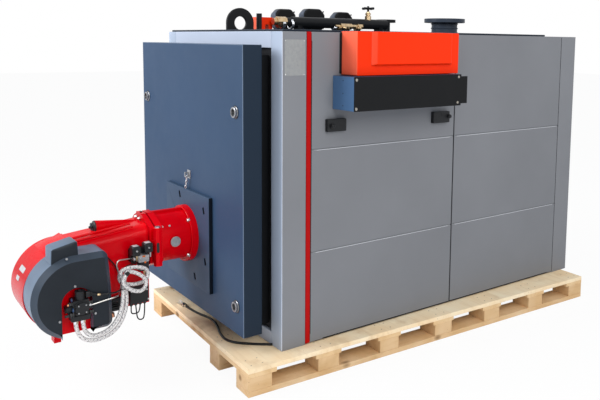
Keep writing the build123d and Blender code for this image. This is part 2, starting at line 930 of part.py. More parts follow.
# Neck casting: flange, hollow neck and the fixed knuckles of the swing hinge
with BuildPart() as burner_neck:
    with BuildSketch(burner_plane.offset(-plate_front)):
        Circle(neck_flange_diameter / 2)
    extrude(amount=neck_flange_thickness)
    with BuildSketch(burner_plane.offset(-plate_front)):
        Circle(neck_diameter / 2)
    extrude(amount=plate_front - neck_end)
    with BuildSketch(burner_plane.offset(-neck_end - joint_flange_thickness)):
        Circle(joint_flange_diameter / 2)
        with Locations((ear_x, ear_spread), (ear_x, -ear_spread)):
            Circle(ear_radius)
        make_hull()
        with Locations(((joint_lug_low + joint_lug_high) / 2, joint_lug_top / 2)):
            Rectangle(joint_lug_high - joint_lug_low, joint_lug_top)
    extrude(amount=joint_flange_thickness)
    block(
        (-neck_rib_half, neck_end, axis_z),
        (neck_rib_half, plate_front, axis_z + neck_diameter / 2 + neck_rib_rise),
    )
    with BuildSketch(Plane.YZ):
        with Locations((sight_y, axis_z)):
            Circle(sight_diameter / 2)
    extrude(amount=sight_reach)
    for place in (-1, 1):
        low = axis_z + place * (knuckle_length + pin_clearance) - knuckle_length / 2
        with BuildSketch(Plane.XY.offset(low)):
            with Locations((swing_x, swing_y)):
                RegularPolygon(knuckle_diameter / 2, 8, major_radius=False)
            with BuildLine():
                Polyline(
                    (swing_x, swing_y + knuckle_diameter / 2),
                    (swing_x - lug_run, neck_end + joint_flange_thickness),
                    (swing_x - lug_run, neck_end),
                    (swing_x, swing_y),
                    close=True,
                )
            make_face()
        extrude(amount=knuckle_length)
    with BuildSketch(burner_plane.offset(-plate_front)):
        Circle(burner_tube_diameter / 2 + tube_seat_gap)
    extrude(amount=plate_front - neck_end + overrun, mode=Mode.SUBTRACT)
    with BuildSketch(Plane.XY.offset(axis_z - 2 * knuckle_length)):
        with Locations((swing_x, swing_y)):
            Circle(swing_pin_diameter / 2)
    extrude(amount=4 * knuckle_length, mode=Mode.SUBTRACT)
finish(burner_neck, "burner_neck")

with BuildPart() as swing_pin:
    with BuildSketch(Plane.XY.offset(axis_z - 1.5 * knuckle_length)):
        with Locations((swing_x, swing_y)):
            Circle(swing_pin_diameter / 2)
    extrude(amount=3 * knuckle_length + pin_clearance)
    with BuildSketch(Plane.XY.offset(axis_z + 1.5 * knuckle_length + pin_clearance)):
        with Locations((swing_x, swing_y)):
            RegularPolygon(swing_pin_diameter / 2 + pin_head_lip, 6)
    extrude(amount=pin_head_height)
finish(swing_pin, "swing_pin")

# The duct is a wedge with two rounded top edges
joint_face = neck_end - swing_gap
duct_end = joint_face - moving_flange_thickness
scroll_half = scroll_width / 2
with BuildPart() as duct:
    with BuildSketch(Plane.YZ.offset(-scroll_half)):
        with BuildLine():
            Polyline(
                (duct_start, deck_top + duct_low),
                (duct_end, deck_top + duct_low),
                (duct_end, deck_top + duct_end_top),
                (duct_start, deck_top + duct_start_top),
                close=True,
            )
        make_face()
    extrude(amount=scroll_width)
    top_face = duct.faces().sort_by(Axis.Z)[-1]
    fillet(top_face.edges().filter_by(Axis.X, reverse=True), duct_corner)

# Burner housing: spiral scroll, duct, lower body, joint flange with its knuckle, damper ridge and foot
scroll_points = [
    (
        scroll_y + (scroll_start_radius - scroll_shrink * (angle - 90) / 90) * math.cos(math.radians(angle)),
        deck_top + scroll_z + (scroll_start_radius - scroll_shrink * (angle - 90) / 90) * math.sin(math.radians(angle)),
    )
    for angle in range(90, scroll_tail_angle + 1, 35)
]
with BuildPart() as burner_housing:
    with BuildSketch(burner_plane.offset(-joint_face)):
        Circle(joint_flange_diameter / 2)
        with Locations((ear_x, ear_spread), (ear_x, -ear_spread)):
            Circle(ear_radius)
        make_hull()
        with Locations(((joint_lug_low + joint_lug_high) / 2, joint_lug_top / 2)):
            Rectangle(joint_lug_high - joint_lug_low, joint_lug_top)
    extrude(amount=moving_flange_thickness)
    with BuildSketch(Plane.YZ.offset(-scroll_half)):
        with BuildLine():
            for first in range(0, len(scroll_points) - 1, 2):
                ThreePointArc(*scroll_points[first:first + 3])
            Polyline(
                scroll_points[-1],
                (body_start, deck_top + body_foot),
                (duct_end, deck_top + body_foot),
                (duct_end, deck_top + body_shoulder),
                (duct_start, deck_top + body_shoulder),
                (duct_start, deck_top + duct_start_top),
                scroll_points[0],
            )
        make_face()
    extrude(amount=scroll_width)
    add(duct.part)
    with BuildSketch(Plane(origin=(0, ridge_start, 0), x_dir=(-1, 0, 0), z_dir=(0, 1, 0))):
        with Locations((-ridge_x, deck_top + ridge_height)):
            Circle(ridge_radius)
    extrude(amount=ridge_length, taper=ridge_taper)
    block(
        (foot_low[0], foot_low[1], deck_top + foot_low[2]),
        (foot_high[0], foot_high[1], deck_top + foot_high[2]),
    )
    with BuildSketch(Plane.XY.offset(axis_z - knuckle_length / 2)):
        with Locations((swing_x, swing_y)):
            Circle(knuckle_diameter / 2)
        with BuildLine():
            Polyline(
                (swing_x, swing_y - knuckle_diameter / 2),
                (swing_x - lug_run, duct_end),
                (swing_x - lug_run, joint_face),
                (swing_x, swing_y),
                close=True,
            )
        make_face()
    extrude(amount=knuckle_length)
    with BuildSketch(Plane.XY.offset(axis_z - knuckle_length)):
        with Locations((swing_x, swing_y)):
            Circle(swing_pin_diameter / 2 + pin_clearance)
    extrude(amount=2 * knuckle_length, mode=Mode.SUBTRACT)
finish(burner_housing, "burner_housing")

with BuildPart() as mixing_head:
    with BuildSketch(burner_plane.offset(-joint_face)):
        RegularPolygon(head_diameter / 2, round_sides)
    extrude(amount=-head_length)
finish(mixing_head, "mixing_head")

# Air cover round the fan inlet: a shell-like body with a bevelled rim and an arch for the pump
arch_floor = scroll_half + cover_reach - arch_depth
with BuildPart() as air_cover:
    with BuildSketch(Plane.YZ.offset(scroll_half)) as cover_outline:
        with BuildLine():
            ThreePointArc(
                (cover_y, deck_top + cover_z + cover_radius),
                (cover_y - cover_radius, deck_top + cover_z),
                (cover_y, deck_top + cover_z - cover_radius),
            )
            Polyline(
                (cover_y, deck_top + cover_z - cover_radius),
                (cover_heel_y, deck_top + cover_heel_z),
                (cover_front, deck_top + cover_toe),
                (cover_front, deck_top + cover_shoulder),
                (cover_front_top, deck_top + cover_z + cover_radius),
                (cover_y, deck_top + cover_z + cover_radius),
            )
        make_face()
    extrude(amount=cover_reach)
    front_face = air_cover.faces().sort_by(Axis.X)[-1]
    chamfer(front_face.edges(), cover_rim_inset, cover_rim_reach, reference=front_face)
    with BuildSketch(Plane.YZ.offset(arch_floor)):
        with Locations((arch_y, deck_top + arch_z)):
            Circle(arch_radius)
            Rectangle(2 * arch_radius, arch_z, align=(Align.CENTER, Align.MAX))
    extrude(amount=arch_depth + overrun, mode=Mode.SUBTRACT)
finish(air_cover, "air_cover")

with BuildPart() as inlet_plate:
    with BuildSketch(Plane.YZ.offset(arch_floor)):
        with Locations((arch_y, deck_top + arch_z)):
            Circle(arch_radius - arch_gap)
            Rectangle(2 * (arch_radius - arch_gap), arch_z - inlet_plate_foot, align=(Align.CENTER, Align.MAX))
    extrude(amount=inlet_plate_thickness)
finish(inlet_plate, "inlet_plate")

with BuildPart() as burner_top_box:
    with BuildSketch(Plane.YZ.offset(scroll_half + top_box_reach[0])):
        with BuildLine():
            Polyline([(y, deck_top + z) for y, z in top_box_outline], close=True)
        make_face()
    extrude(amount=top_box_reach[1] - top_box_reach[0])
    add(air_cover.part, mode=Mode.SUBTRACT)
finish(burner_top_box, "burner_top_box")

# Damper drive on the end of the ridge
with BuildPart() as damper_drive:
    with BuildSketch(Plane(origin=(0, ridge_start, 0), x_dir=(1, 0, 0), z_dir=(0, -1, 0))):
        with Locations((ridge_x, deck_top + ridge_height)):
            RegularPolygon(damper_radius, round_sides)
    extrude(amount=damper_length)
    add(burner_housing.part, mode=Mode.SUBTRACT)
finish(damper_drive, "damper_drive")

# Oil valve block with two coils, and the terminal box, on the side of the housing
with BuildPart() as valve_block:
    for low, high, reach in (valve_body, valve_foot) + valve_coils:
        block(
            (scroll_half, low[0], deck_top + low[1]),
            (scroll_half + reach, high[0], deck_top + high[1]),
        )
finish(valve_block, "valve_block")

with BuildPart() as terminal_box:
    block(
        (scroll_half, terminal_box_low[0], deck_top + terminal_box_low[1]),
        (scroll_half + terminal_box_reach, terminal_box_high[0], deck_top + terminal_box_high[1]),
    )
finish(terminal_box, "terminal_box")

# Oil pump on the inlet plate: body with a round cap, coil, pressure knob, pipe nut and two hose outlets
pump_back = arch_floor + inlet_plate_thickness
with BuildPart() as oil_pump:
    block(
        (pump_back, pump_low[0], deck_top + pump_low[1]),
        (pump_back + pump_reach, pump_high[0], deck_top + pump_high[1]),
    )
    with BuildSketch(Plane.YZ.offset(pump_back + pump_reach)):
        with Locations(((pump_low[0] + pump_high[0]) / 2, deck_top + (pump_low[1] + pump_high[1]) / 2)):
            Circle(pump_cap_radius)
    extrude(amount=pump_cap_reach)
    with BuildSketch(Plane.XY.offset(deck_top + pump_high[1])):
        with Locations((pump_x, pump_coil_y)):
            RegularPolygon(pump_coil_radius, round_sides)
    extrude(amount=pump_coil_top - pump_high[1])
    with BuildSketch(Plane(origin=(pump_x, pump_low[0], deck_top + pump_knob_z), z_dir=(0, -1, 0))):
        RegularPolygon(pump_knob_radius, round_sides)
    extrude(amount=pump_knob_length)
    with BuildSketch(Plane(origin=(pump_nut_x, pump_high[0], deck_top + pump_nut_z), z_dir=(0, 1, 0))):
        RegularPolygon(pump_nut_radius, 6)
    extrude(amount=pump_nut_length)
    with BuildSketch(Plane.XY.offset(deck_top + pump_low[1])):
        with Locations([(pump_x, y) for y in pump_outlets]):
            RegularPolygon(hose_diameter / 2 + arch_gap, 6)
    extrude(amount=-pump_outlet_length)
finish(oil_pump, "oil_pump")

# Coiled ends of the hoses as one closed ring, then the two hoses, the oil pipe and the pallet cable
with BuildPart() as hose_coil:
    with BuildSketch(Plane.YZ.offset(coil_start)) as coil_outline:
        with Locations((coil_middle[0], deck_top + coil_middle[1])):
            Rectangle(*coil_size)
            chamfer(coil_outline.vertices(), coil_corner)
            Rectangle(*coil_hole, mode=Mode.SUBTRACT)
    extrude(amount=coil_thickness)
finish(hose_coil, "hose_coil")

for label, route, diameter in (
    ("oil_hose_supply", hose_supply_route, hose_diameter),
    ("oil_hose_return", hose_return_route, hose_diameter),
    ("oil_pipe", pipe_route, pipe_diameter),
):
    cord(label, [(x, y, deck_top + z) for x, y, z in route], diameter / 2)
cable_level = deck_top + cable_diameter / 2
cord("pallet_cable", [(x, y, cable_level) for x, y in cable_route], cable_diameter / 2)

plug_start = Vector(*cable_route[-1], cable_level)
plug_way = plug_start - Vector(*cable_route[-2], cable_level)
plug_plane = Plane(origin=plug_start, x_dir=plug_way.cross(Vector(0, 0, 1)), z_dir=plug_way)
with BuildPart() as pallet_cable_plug:
    with BuildSketch(plug_plane):
        Rectangle(cable_diameter, cable_diameter)
    extrude(amount=plug_sleeve_length)
    with BuildSketch(plug_plane.offset(plug_sleeve_length)):
        Rectangle(plug_shell_width, cable_diameter)
    extrude(amount=plug_shell_length)
finish(pallet_cable_plug, "pallet_cable_plug")

# Fan motor on the far side of the scroll
with BuildPart() as fan_motor:
    with BuildSketch(Plane.YZ.offset(-scroll_half)):
        with Locations((scroll_y, deck_top + scroll_z)):
            RegularPolygon(motor_diameter / 2, round_sides)
    extrude(amount=-motor_length)
finish(fan_motor, "fan_motor")

# All pieces are moved so that the origin is at the middle of the bottom of the whole
whole = Compound([piece.part for piece in pieces]).bounding_box()
home = Location((-(whole.min.X + whole.max.X) / 2, -(whole.min.Y + whole.max.Y) / 2, -whole.min.Z))
print("moved by", *home.position)
for piece in pieces:
    piece.part.move(home)
    export_step(piece.part, f"parts/{piece.part.label}.step")
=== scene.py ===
"""A floor-standing industrial boiler on its pallet, dressed in the order in which it is put together."""
import math

import bmesh
import bpy
import numpy as np
from mathutils import Matrix, Vector


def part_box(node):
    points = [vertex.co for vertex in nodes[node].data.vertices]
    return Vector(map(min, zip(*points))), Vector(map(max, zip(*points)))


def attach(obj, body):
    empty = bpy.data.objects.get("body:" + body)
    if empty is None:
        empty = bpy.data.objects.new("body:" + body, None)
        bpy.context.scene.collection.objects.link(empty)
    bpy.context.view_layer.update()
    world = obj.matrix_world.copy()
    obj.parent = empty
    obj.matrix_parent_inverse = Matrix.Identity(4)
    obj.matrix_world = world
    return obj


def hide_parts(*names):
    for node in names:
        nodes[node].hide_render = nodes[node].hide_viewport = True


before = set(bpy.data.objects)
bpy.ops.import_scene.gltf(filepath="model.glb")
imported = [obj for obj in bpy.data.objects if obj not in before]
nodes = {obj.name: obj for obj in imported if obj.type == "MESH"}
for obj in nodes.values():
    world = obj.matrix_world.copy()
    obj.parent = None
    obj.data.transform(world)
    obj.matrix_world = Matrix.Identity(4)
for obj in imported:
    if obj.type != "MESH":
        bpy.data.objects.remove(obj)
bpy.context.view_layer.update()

# Camera: it stands off the right-hand front corner at about eye height, where the photographer stood.
# Every place on the boiler is told in millimetres from the middle of the casing's front face, at the
# level of the pallet's deck, with +x to the control side and -y to the burner.
top_low, top_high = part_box("top_panel")
front_low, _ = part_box("front_cross_strips")
_, deck_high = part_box("pallet_deck")
datum = np.array([(top_low.x + top_high.x) / 2, front_low.y, deck_high.z])


def metres(points):
    """Places in millimetres become metres in the row frame: the datum plus a thousandth of each."""
    return datum + np.asarray(points, float) / 1000


yaw, pitch, roll = (math.radians(angle) for angle in (53.0839, 6.1785, 0.7038))
back = Vector((math.sin(yaw) * math.cos(pitch), -math.cos(yaw) * math.cos(pitch), math.sin(pitch)))
level = Vector((math.cos(yaw), math.sin(yaw), 0))
upright = back.cross(level)
across = math.cos(roll) * level + math.sin(roll) * upright
upward = math.cos(roll) * upright - math.sin(roll) * level
lens = bpy.data.cameras.new("camera")
lens.sensor_width = 36
lens.lens = 42.372
lens.shift_x = -0.08476
lens.shift_y = -0.13870
camera = bpy.data.objects.new("camera", lens)
camera.matrix_world = Matrix((across, upward, back)).transposed().to_4x4()
camera.location = Vector(metres((3379.5, -1665.1, 1462.7)))
scene = bpy.context.scene
join = scene.collection.objects.link
join(camera)
scene.camera = camera
scene.view_settings.view_transform = "Standard"

# Studio: a pale floor that keeps the shadow, a plain bright surround and two soft lamps.
# The camera, and glossy or clear surfaces, see the surround as white.


class Socket:
    """A shader value: sums and products of values add Math nodes, and add() makes any other node."""

    def __init__(self, tree, link=None):
        self.tree = tree
        self.link = link

    def add(self, kind, inputs=None, output=0, **settings):
        """A node of a kind, its settings first, then values or links for its sockets."""
        node = self.tree.nodes.new("ShaderNode" + kind)
        for key, value in settings.items():
            setattr(node, key, value)
        for key, value in (inputs or {}).items():
            if isinstance(value, Socket):
                self.tree.links.new(value.link, node.inputs[key])
            else:
                node.inputs[key].default_value = value
        return Socket(self.tree, node.outputs[output] if len(node.outputs) else None)

    def maths(self, operation, *values):
        return self.add("Math", dict(enumerate(values)), operation=operation)

    def __add__(self, other):
        return self.maths("ADD", self, other)

    def __sub__(self, other):
        return self.maths("SUBTRACT", self, other)

    def __mul__(self, other):
        return self.maths("MULTIPLY", self, other)

    def part(self, axis):
        """One coordinate of a place: x, y or z."""
        return self.add("SeparateXYZ", {"Vector": self}, output=axis)

    def noise(self, scale, detail=3, roughness=0.5, stretch=(1, 1, 1), distortion=0):
        """Cloudy noise, in cycles a metre, drawn out along an axis by a small stretch."""
        spread = self.add("Mapping", {"Vector": self, "Scale": stretch})
        inputs = {"Vector": spread, "Scale": scale, "Detail": detail}
        inputs.update({"Roughness": roughness, "Distortion": distortion})
        return self.add("TexNoise", inputs)

    def cells(self, scale, stretch=(1, 1, 1)):
        """The distance to the nearest of scattered points, in cells a metre."""
        spread = self.add("Mapping", {"Vector": self, "Scale": stretch})
        return self.add("TexVoronoi", {"Vector": spread, "Scale": scale})

    def band(self, low, high, to_low=0, to_high=1):
        """The range from low to high spread over another range, and held at its ends."""
        limits = {"From Min": low, "From Max": high, "To Min": to_low, "To Max": to_high}
        return self.add("MapRange", {"Value": self, **limits})

    def tint(self, first, second):
        """The mix of two colours by this share."""
        first = first if isinstance(first, Socket) else (*first, 1)
        second = second if isinstance(second, Socket) else (*second, 1)
        return self.add("Mix", {0: self, 6: first, 7: second}, 2, data_type="RGBA")

    def normal(self):
        """The way that the surface faces."""
        return self.add("TexCoord", output="Normal")

    def bump(self, strength, distance):
        """A normal that this height raises."""
        inputs = {"Height": self, "Strength": strength, "Distance": distance}
        return self.add("Bump", inputs)


world = bpy.data.worlds.new("studio")
scene.world = world
world.use_nodes = True
world.node_tree.nodes.clear()
sky = Socket(world.node_tree)
kinds = ("Camera", "Glossy", "Transmission")
rays = [sky.add("LightPath", output=f"Is {kind} Ray") for kind in kinds]
seen = sky.maths("MAXIMUM", sky.maths("MAXIMUM", rays[0], rays[1]), rays[2])
surround = sky.add("Background", {"Color": (0.93, 0.96, 1.0, 1), "Strength": 0.62})
white = sky.add("Background", {"Color": (1, 1, 1, 1), "Strength": 1.0})
choice = sky.add("MixShader", {0: seen, 1: surround, 2: white})
sky.add("OutputWorld", {"Surface": choice})

floor_mesh = bpy.data.meshes.new("floor")
floor_mesh.from_pydata([(-30, -30, 0), (30, -30, 0), (30, 30, 0), (-30, 30, 0)], [], [(0, 1, 2, 3)])
floor = bpy.data.objects.new("floor", floor_mesh)
join(floor)
paper = bpy.data.materials.new("floor_paper")
paper.use_nodes = True
paper.node_tree.nodes.clear()
ground = Socket(paper.node_tree)
matt = ground.add("BsdfDiffuse", {"Color": (0.9, 0.9, 0.9, 1)})
glow = ground.add("Emission", {"Color": (1, 1, 1, 1), "Strength": 1.0})
part_seen = ground.add("LightPath", output="Is Camera Ray") * 0.94
blend = ground.add("MixShader", {0: part_seen, 1: matt, 2: glow})
ground.add("OutputMaterial", {"Surface": blend})
floor.data.materials.append(paper)


def lamp(name, place, aim, size, power, colour):
    """A square soft lamp at one place that faces another."""
    light = bpy.data.lights.new(name, "AREA")
    light.size = size
    light.energy = power
    light.color = colour
    thing = bpy.data.objects.new(name, light)
    thing.location = Vector(metres(place))
    thing.rotation_euler = Vector(metres(aim) - metres(place)).to_track_quat("-Z", "Y").to_euler()
    join(thing)


lamp("front_lamp", (-1600, -4200, 3200), (0, 300, 700), 2.6, 225, (0.95, 0.97, 1.0))
lamp("side_lamp", (4600, 200, 3600), (700, 900, 700), 3.0, 120, (1.0, 0.99, 0.97))

# Pallet: pine deck, cross boards, block rows and three long skids, nailed together through the blocks.
# The timber is pale and roughly sawn, with rings that run along each board, knots, brown patches,
# and darker sawn ends.


def material(name, finish, coordinates="Object"):
    made = bpy.data.materials.new(name)
    made.use_nodes = True
    made.node_tree.nodes.clear()
    start = Socket(made.node_tree)
    source = start.add("TexCoord", output=coordinates)
    surface = start.add("BsdfPrincipled", finish(source))
    start.add("OutputMaterial", {"Surface": surface})
    return made


def dress(name, finish, edge=0.0):
    """A CAD node takes its finish, and its corners are eased by a round of that radius in metres."""
    piece = nodes[name]
    piece.data.materials.clear()
    piece.data.materials.append(finish)
    if edge:
        soften(piece, edge)
    return piece


def soften(piece, edge):
    """A round of that radius in metres along the sharp corners of a piece."""
    weld = piece.modifiers.new("weld", "WELD")
    weld.merge_threshold = 0.00002
    ease = piece.modifiers.new("ease", "BEVEL")
    ease.width = edge
    ease.segments = 3
    ease.limit_method = "ANGLE"
    ease.angle_limit = math.radians(38)
    shade = piece.modifiers.new("shade", "WEIGHTED_NORMAL")
    shade.keep_sharp = False


def pine(name, along, dull, fair, figure=0.5):
    """Sawn pine whose rings are noise drawn out along one axis, with knots and stained patches."""
    stretch = [1, 1, 1]
    stretch[along] = 0.07

    def finish(places):
        rings = places.noise(38, 4, 0.6, stretch, 0.8)
        fuzz = places.noise(340, 2, 0.6, stretch)
        board = places.noise(6, 2, 0.4)
        patch = places.noise(4.2, 4, 0.6).band(0.55, 0.75, 0, 0.6)
        knot_stretch = [0.6 if axis == along else 1 for axis in range(3)]
        knot = places.cells(5, knot_stretch).band(0.10, 0.035, 0, 0.9)
        speck = places.cells(22).band(0.07, 0.03, 0, 0.5)
        pale = board.band(0.35, 0.7).tint(dull, fair)
        ringed = rings.band(0.5, 0.75, 0, figure).tint(pale, (0.60, 0.36, 0.16))
        stained = patch.tint(ringed, (0.52, 0.31, 0.13))
        knotted = knot.tint(stained, (0.22, 0.11, 0.045))
        colour = speck.tint(knotted, (0.16, 0.08, 0.035))
        height = rings * 0.7 + fuzz * 0.4
        return {
            "Base Color": colour,
            "Roughness": rings.band(0.3, 0.7, 0.72, 0.86),
            "Normal": height.bump(0.6, 0.0012),
            "Specular IOR Level": 0.25,
        }

    return material(name, finish)


deck_pine = pine("deck_pine", 0, (0.96, 0.74, 0.47), (1.0, 0.86, 0.62), 0.25)
board_pine = pine("board_pine", 0, (0.78, 0.53, 0.28), (0.88, 0.66, 0.40))
block_pine = pine("block_pine", 1, (0.72, 0.48, 0.25), (0.82, 0.60, 0.37))
dress("pallet_deck", deck_pine, 0.002)
dress("pallet_cross_boards", board_pine, 0.002)
dress("pallet_blocks", block_pine, 0.003)
dress("pallet_skids", block_pine, 0.002)
to_right, to_front, to_rear, to_top = (1, 0, 0), (0, -1, 0), (0, 1, 0), (0, 0, 1)


def ring(radius, count=24):
    """Points round a circle of that radius, or the corners of a nut where count is 6."""
    turn = np.arange(count) * 2 * np.pi / count
    return radius * np.c_[np.cos(turn), np.sin(turn)]


def rounded(width, height, radius, count=5):
    """Points round a rectangle whose corners are quarter circles of that radius."""
    turn = np.linspace(0, np.pi / 2, count)
    corner = radius * np.c_[np.cos(turn), np.sin(turn)]
    reach = np.array([width / 2 - radius, height / 2 - radius])
    quarters = []
    for step in range(4):
        cos, sin = round(math.cos(step * math.pi / 2)), round(math.sin(step * math.pi / 2))
        centre = reach * (1 if step in (0, 3) else -1, 1 if step in (0, 1) else -1)
        quarters.append(corner @ np.array([[cos, sin], [-sin, cos]]) + centre)
    return np.concatenate(quarters)


def unit(ways):
    """The ways made one long."""
    return ways / np.linalg.norm(ways, axis=-1, keepdims=True)


def stack(outline, stations, places, facing=to_top, tilt=0.0, capped=True):
    """Stations of an outline: place + height * facing + share * outline, for (height, share) pairs.
    A capped one shrinks to a point at both ends."""
    if capped:
        (low, wide), (high, narrow) = stations[0], stations[-1]
        stations = [(low, 0)] * bool(wide) + list(stations) + [(high, 0)] * bool(narrow)
    facing = np.array(facing, float) / np.linalg.norm(facing)
    level = np.cross((0, 0, 1), facing) if abs(facing[2]) < 0.9 else np.array((1.0, 0, 0))
    level /= np.linalg.norm(level)
    raised = np.cross(facing, level)
    turned = level * math.cos(tilt) + raised * math.sin(tilt)
    steep = np.cross(facing, turned)
    flat = outline[:, :1] * turned + outline[:, 1:] * steep
    stations = np.asarray(stations, float)
    body = stations[:, :1, None] * facing + stations[:, 1:, None] * flat
    return np.asarray(places, float).reshape(-1, 1, 1, 3) + body


def close_up(mesh, sharp):
    """Doubled corners are joined, faces turned outwards and edges over that angle kept sharp."""
    form = bmesh.new()
    form.from_mesh(mesh)
    bmesh.ops.remove_doubles(form, verts=form.verts, dist=0.00001)
    bmesh.ops.recalc_face_normals(form, faces=form.faces)
    form.to_mesh(mesh)
    form.free()
    mesh.shade_smooth()
    mesh.set_sharp_from_angle(angle=math.radians(sharp))


def skin(name, shapes, finish, body="burner", sharp=35):
    """One piece from grids of points in millimetres, each grid wrapped across its columns, or from
    tuples of what stack takes. Rows that shrink to a point close its ends."""
    corners, faces, first = [], [], 0
    for shape in shapes:
        shape = stack(*shape) if isinstance(shape, tuple) else np.asarray(shape, float)
        shape = shape.reshape(-1, *shape.shape[-3:])
        order = np.arange(shape[..., 0].size).reshape(shape.shape[:3]) + first
        ahead = np.roll(order, -1, axis=2)
        quads = np.stack((order[:, :-1], ahead[:, :-1], ahead[:, 1:], order[:, 1:]), -1)
        faces.append(quads.reshape(-1, 4))
        corners.append(shape.reshape(-1, 3))
        first += shape[..., 0].size
    mesh = bpy.data.meshes.new(name)
    mesh.from_pydata(metres(np.concatenate(corners)).tolist(), [], np.concatenate(faces).tolist())
    close_up(mesh, sharp)
    return settle(name, mesh, finish, body)


def settle(name, shape, finish, body):
    """The piece joins the scene with its finish and that finish's slot, and rides on its body."""
    piece = bpy.data.objects.new(name, shape)
    join(piece)
    shape.materials.append(finish)
    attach(piece, body)
    return piece


def spotted(name, colour, spot, metal, roughness, grain=900):
    """A small fitting's metal: a colour with tarnished spots, and fine tool marks in its gloss."""

    def finish(places):
        cloud = places.noise(60, 3, 0.6)
        marks = places.noise(grain, 2, 0.5)
        return {
            "Base Color": cloud.band(0.4, 0.7).tint(colour, spot),
            "Metallic": metal,
            "Roughness": cloud.band(0.3, 0.7, roughness - 0.06, roughness + 0.1),
            "Normal": marks.bump(0.12, 0.0002),
        }

    return material(name, finish)


dull_zinc = spotted("dull_zinc", (0.42, 0.42, 0.43), (0.30, 0.31, 0.33), 0.6, 0.4)
zinc = spotted("zinc", (0.72, 0.73, 0.74), (0.48, 0.49, 0.50), 1.0, 0.28)
nail_steel = spotted("nail_steel", (0.46, 0.36, 0.24), (0.30, 0.22, 0.14), 0.2, 0.6)
skew = math.radians(2.1)
corner = np.array((718.5, -218.0))
along_side = np.array((math.sin(skew), math.cos(skew)))
along_end = np.array((-math.cos(skew), math.sin(skew)))
board_pitch = 367.7
nails = [
    (*(corner + along_side * (row * board_pitch + run) + along_end * inset), 0)
    for row in range(7)
    for run in (31, 88)
    for inset in (33, 91, 350, 402, 1143, 1203)
]
skin("nails", [(ring(3.4, 10), [(-1, 1), (0.5, 1), (0.9, 0.7)], nails)], nail_steel, "boiler")

# Base rails and pressure vessel: two welded channels carry the round-cornered insulated body.
# Both are primed and dusty.


def powder(name, colour, roughness=0.45, peel=0.1, drift=0.05, side=None, front=None):
    """Powder coat: a colour that drifts, fine orange peel and a wiped sheen. Where side or front
    gives a colour, the faces that look sideways take side as painted shade, and the faces that look
    forwards take front as painted light."""

    def finish(places):
        cloud = places.noise(1.7, 3, 0.55)
        wipe = places.noise(8, 4, 0.6)
        pale = cloud.band(0.3, 0.7).tint([c * (1 - drift) for c in colour], [c * (1 + drift) for c in colour])
        normal = places.normal()
        # Painted shade on faces that look sideways, painted light on faces that look forwards.
        if side:
            pale = normal.part(0).band(0.55, 0.8).tint(pale, side)
        if front:
            pale = normal.part(1).band(-0.55, -0.8).tint(pale, front)
        return {
            "Base Color": pale,
            "Roughness": wipe.band(0.3, 0.7, roughness - 0.04, roughness + 0.06),
            "Normal": places.noise(850, 2, 0.5).bump(peel, 0.0003),
            "Specular IOR Level": 0.13,
        }

    return material(name, finish)


black_paint = powder("black_paint", (0.010, 0.011, 0.013), 0.36)
primer = powder("primer", (0.035, 0.036, 0.040), 0.75, 0.5, 0.3)
dress("base_rails", black_paint, 0.002)
dress("insulated_vessel", primer, 0.003)

# Casing: folded and powder-coated sheet panels hooked over the vessel's frame. The side panels have
# two pressed grooves; the front trims stand proud round the corner, with a red strip let in beside.
sheet_grey = powder("sheet_grey", (0.205, 0.212, 0.230))
# Painted light: the trims' forward faces, and all of the front cross strips, take the casing grey painted
# paler and bluer.
trim_grey = powder("trim_grey", (0.220, 0.227, 0.246), front=(0.43, 0.50, 0.62))
painted_lit_grey = powder("painted_lit_grey", (0.50, 0.56, 0.68))
stripe_red = powder("stripe_red", (0.42, 0.0, 0.0), 0.45)
slate = powder("slate", (0.020, 0.028, 0.042), 0.42)
nozzle_slate = powder("nozzle_slate", (0.040, 0.052, 0.074), 0.38)
for name in ("side_panels_right", "side_panels_left", "rear_panel", "top_panel"):
    dress(name, sheet_grey, 0.0022)
dress("front_corner_trims", trim_grey, 0.004)
dress("rear_corner_trims", trim_grey, 0.004)
dress("front_cross_strips", painted_lit_grey, 0.004)
dress("stripes", stripe_red, 0.0015)
dress("top_cover", slate, 0.003)
# Painted shade: thin black strips on the panels where their gaps show dark, and a long one along the panels'
# foot for the shadow between panel and deck.
shade_strip = [(0, 1), (0.3, 1), (0.5, 0.9)]
gap_shades = [
    (rounded(5, 1484, 2), shade_strip, (643.1, 159.5, 753), to_right),
    (rounded(4.5, 1488, 2), shade_strip, (643.1, 2014, 752), to_right),
    (rounded(7.6, 1488, 2), shade_strip, (640.5, 1099.8, 752), to_right),
    (rounded(1822, 6, 2), shade_strip, (643.1, 1099, 8.5), to_right),
]
skin("painted_gap_shade", gap_shades, black_paint, "boiler")
# Painted highlight: a pale strip along the lower edge of each groove, where the groove's flank catches the
# light.
painted_groove_glint = powder("painted_groove_glint", (0.62, 0.64, 0.68))
glint_rows = [(0, 1), (0.4, 0.98), (0.7, 0.9)]
glint_shapes = [
    (rounded(run, 2.4, 1), glint_rows, [(643, middle, height - 3.6) for height in (451, 948)], to_right)
    for middle, run in ((631, 922), (1557, 904))
]
skin("painted_groove_glints", glint_shapes, painted_groove_glint, "boiler")
# Painted highlight: a pale bead down the front trim's corner, where its rounded edge catches the light.
painted_edge_highlight = powder("painted_edge_highlight", (0.66, 0.72, 0.84))
highlight_run = [(0, 1), (1490, 1)]
skin("trim_edge_highlight", [(ring(1.5, 10), highlight_run, (642, 1.0, 5))], painted_edge_highlight, "boiler")

# Rear: the flue collar, welded to the rear panel. The photograph doesn't show it, so it has a plain
# slate paint and no fastener.
dress("flue_collar", slate, 0.001)

# Flow nozzle: a welded tube under a drilled flange, painted slate, with a pressed rain collar at the
# panel and two weld beads.
dress("flow_nozzle", nozzle_slate, 0.0025)


def beads(radius, thick, heights, places, facing=to_top, count=48):
    """Round beads about an axis: the outline's share swells by a half circle at each height."""
    shapes = []
    for height in heights:
        turn = np.linspace(0, 2 * np.pi, 13)
        stations = np.c_[height + thick * np.sin(turn), 1 + thick / radius * np.cos(turn)]
        shapes.append(stack(ring(radius, count), stations, places, facing, capped=False))
    return shapes


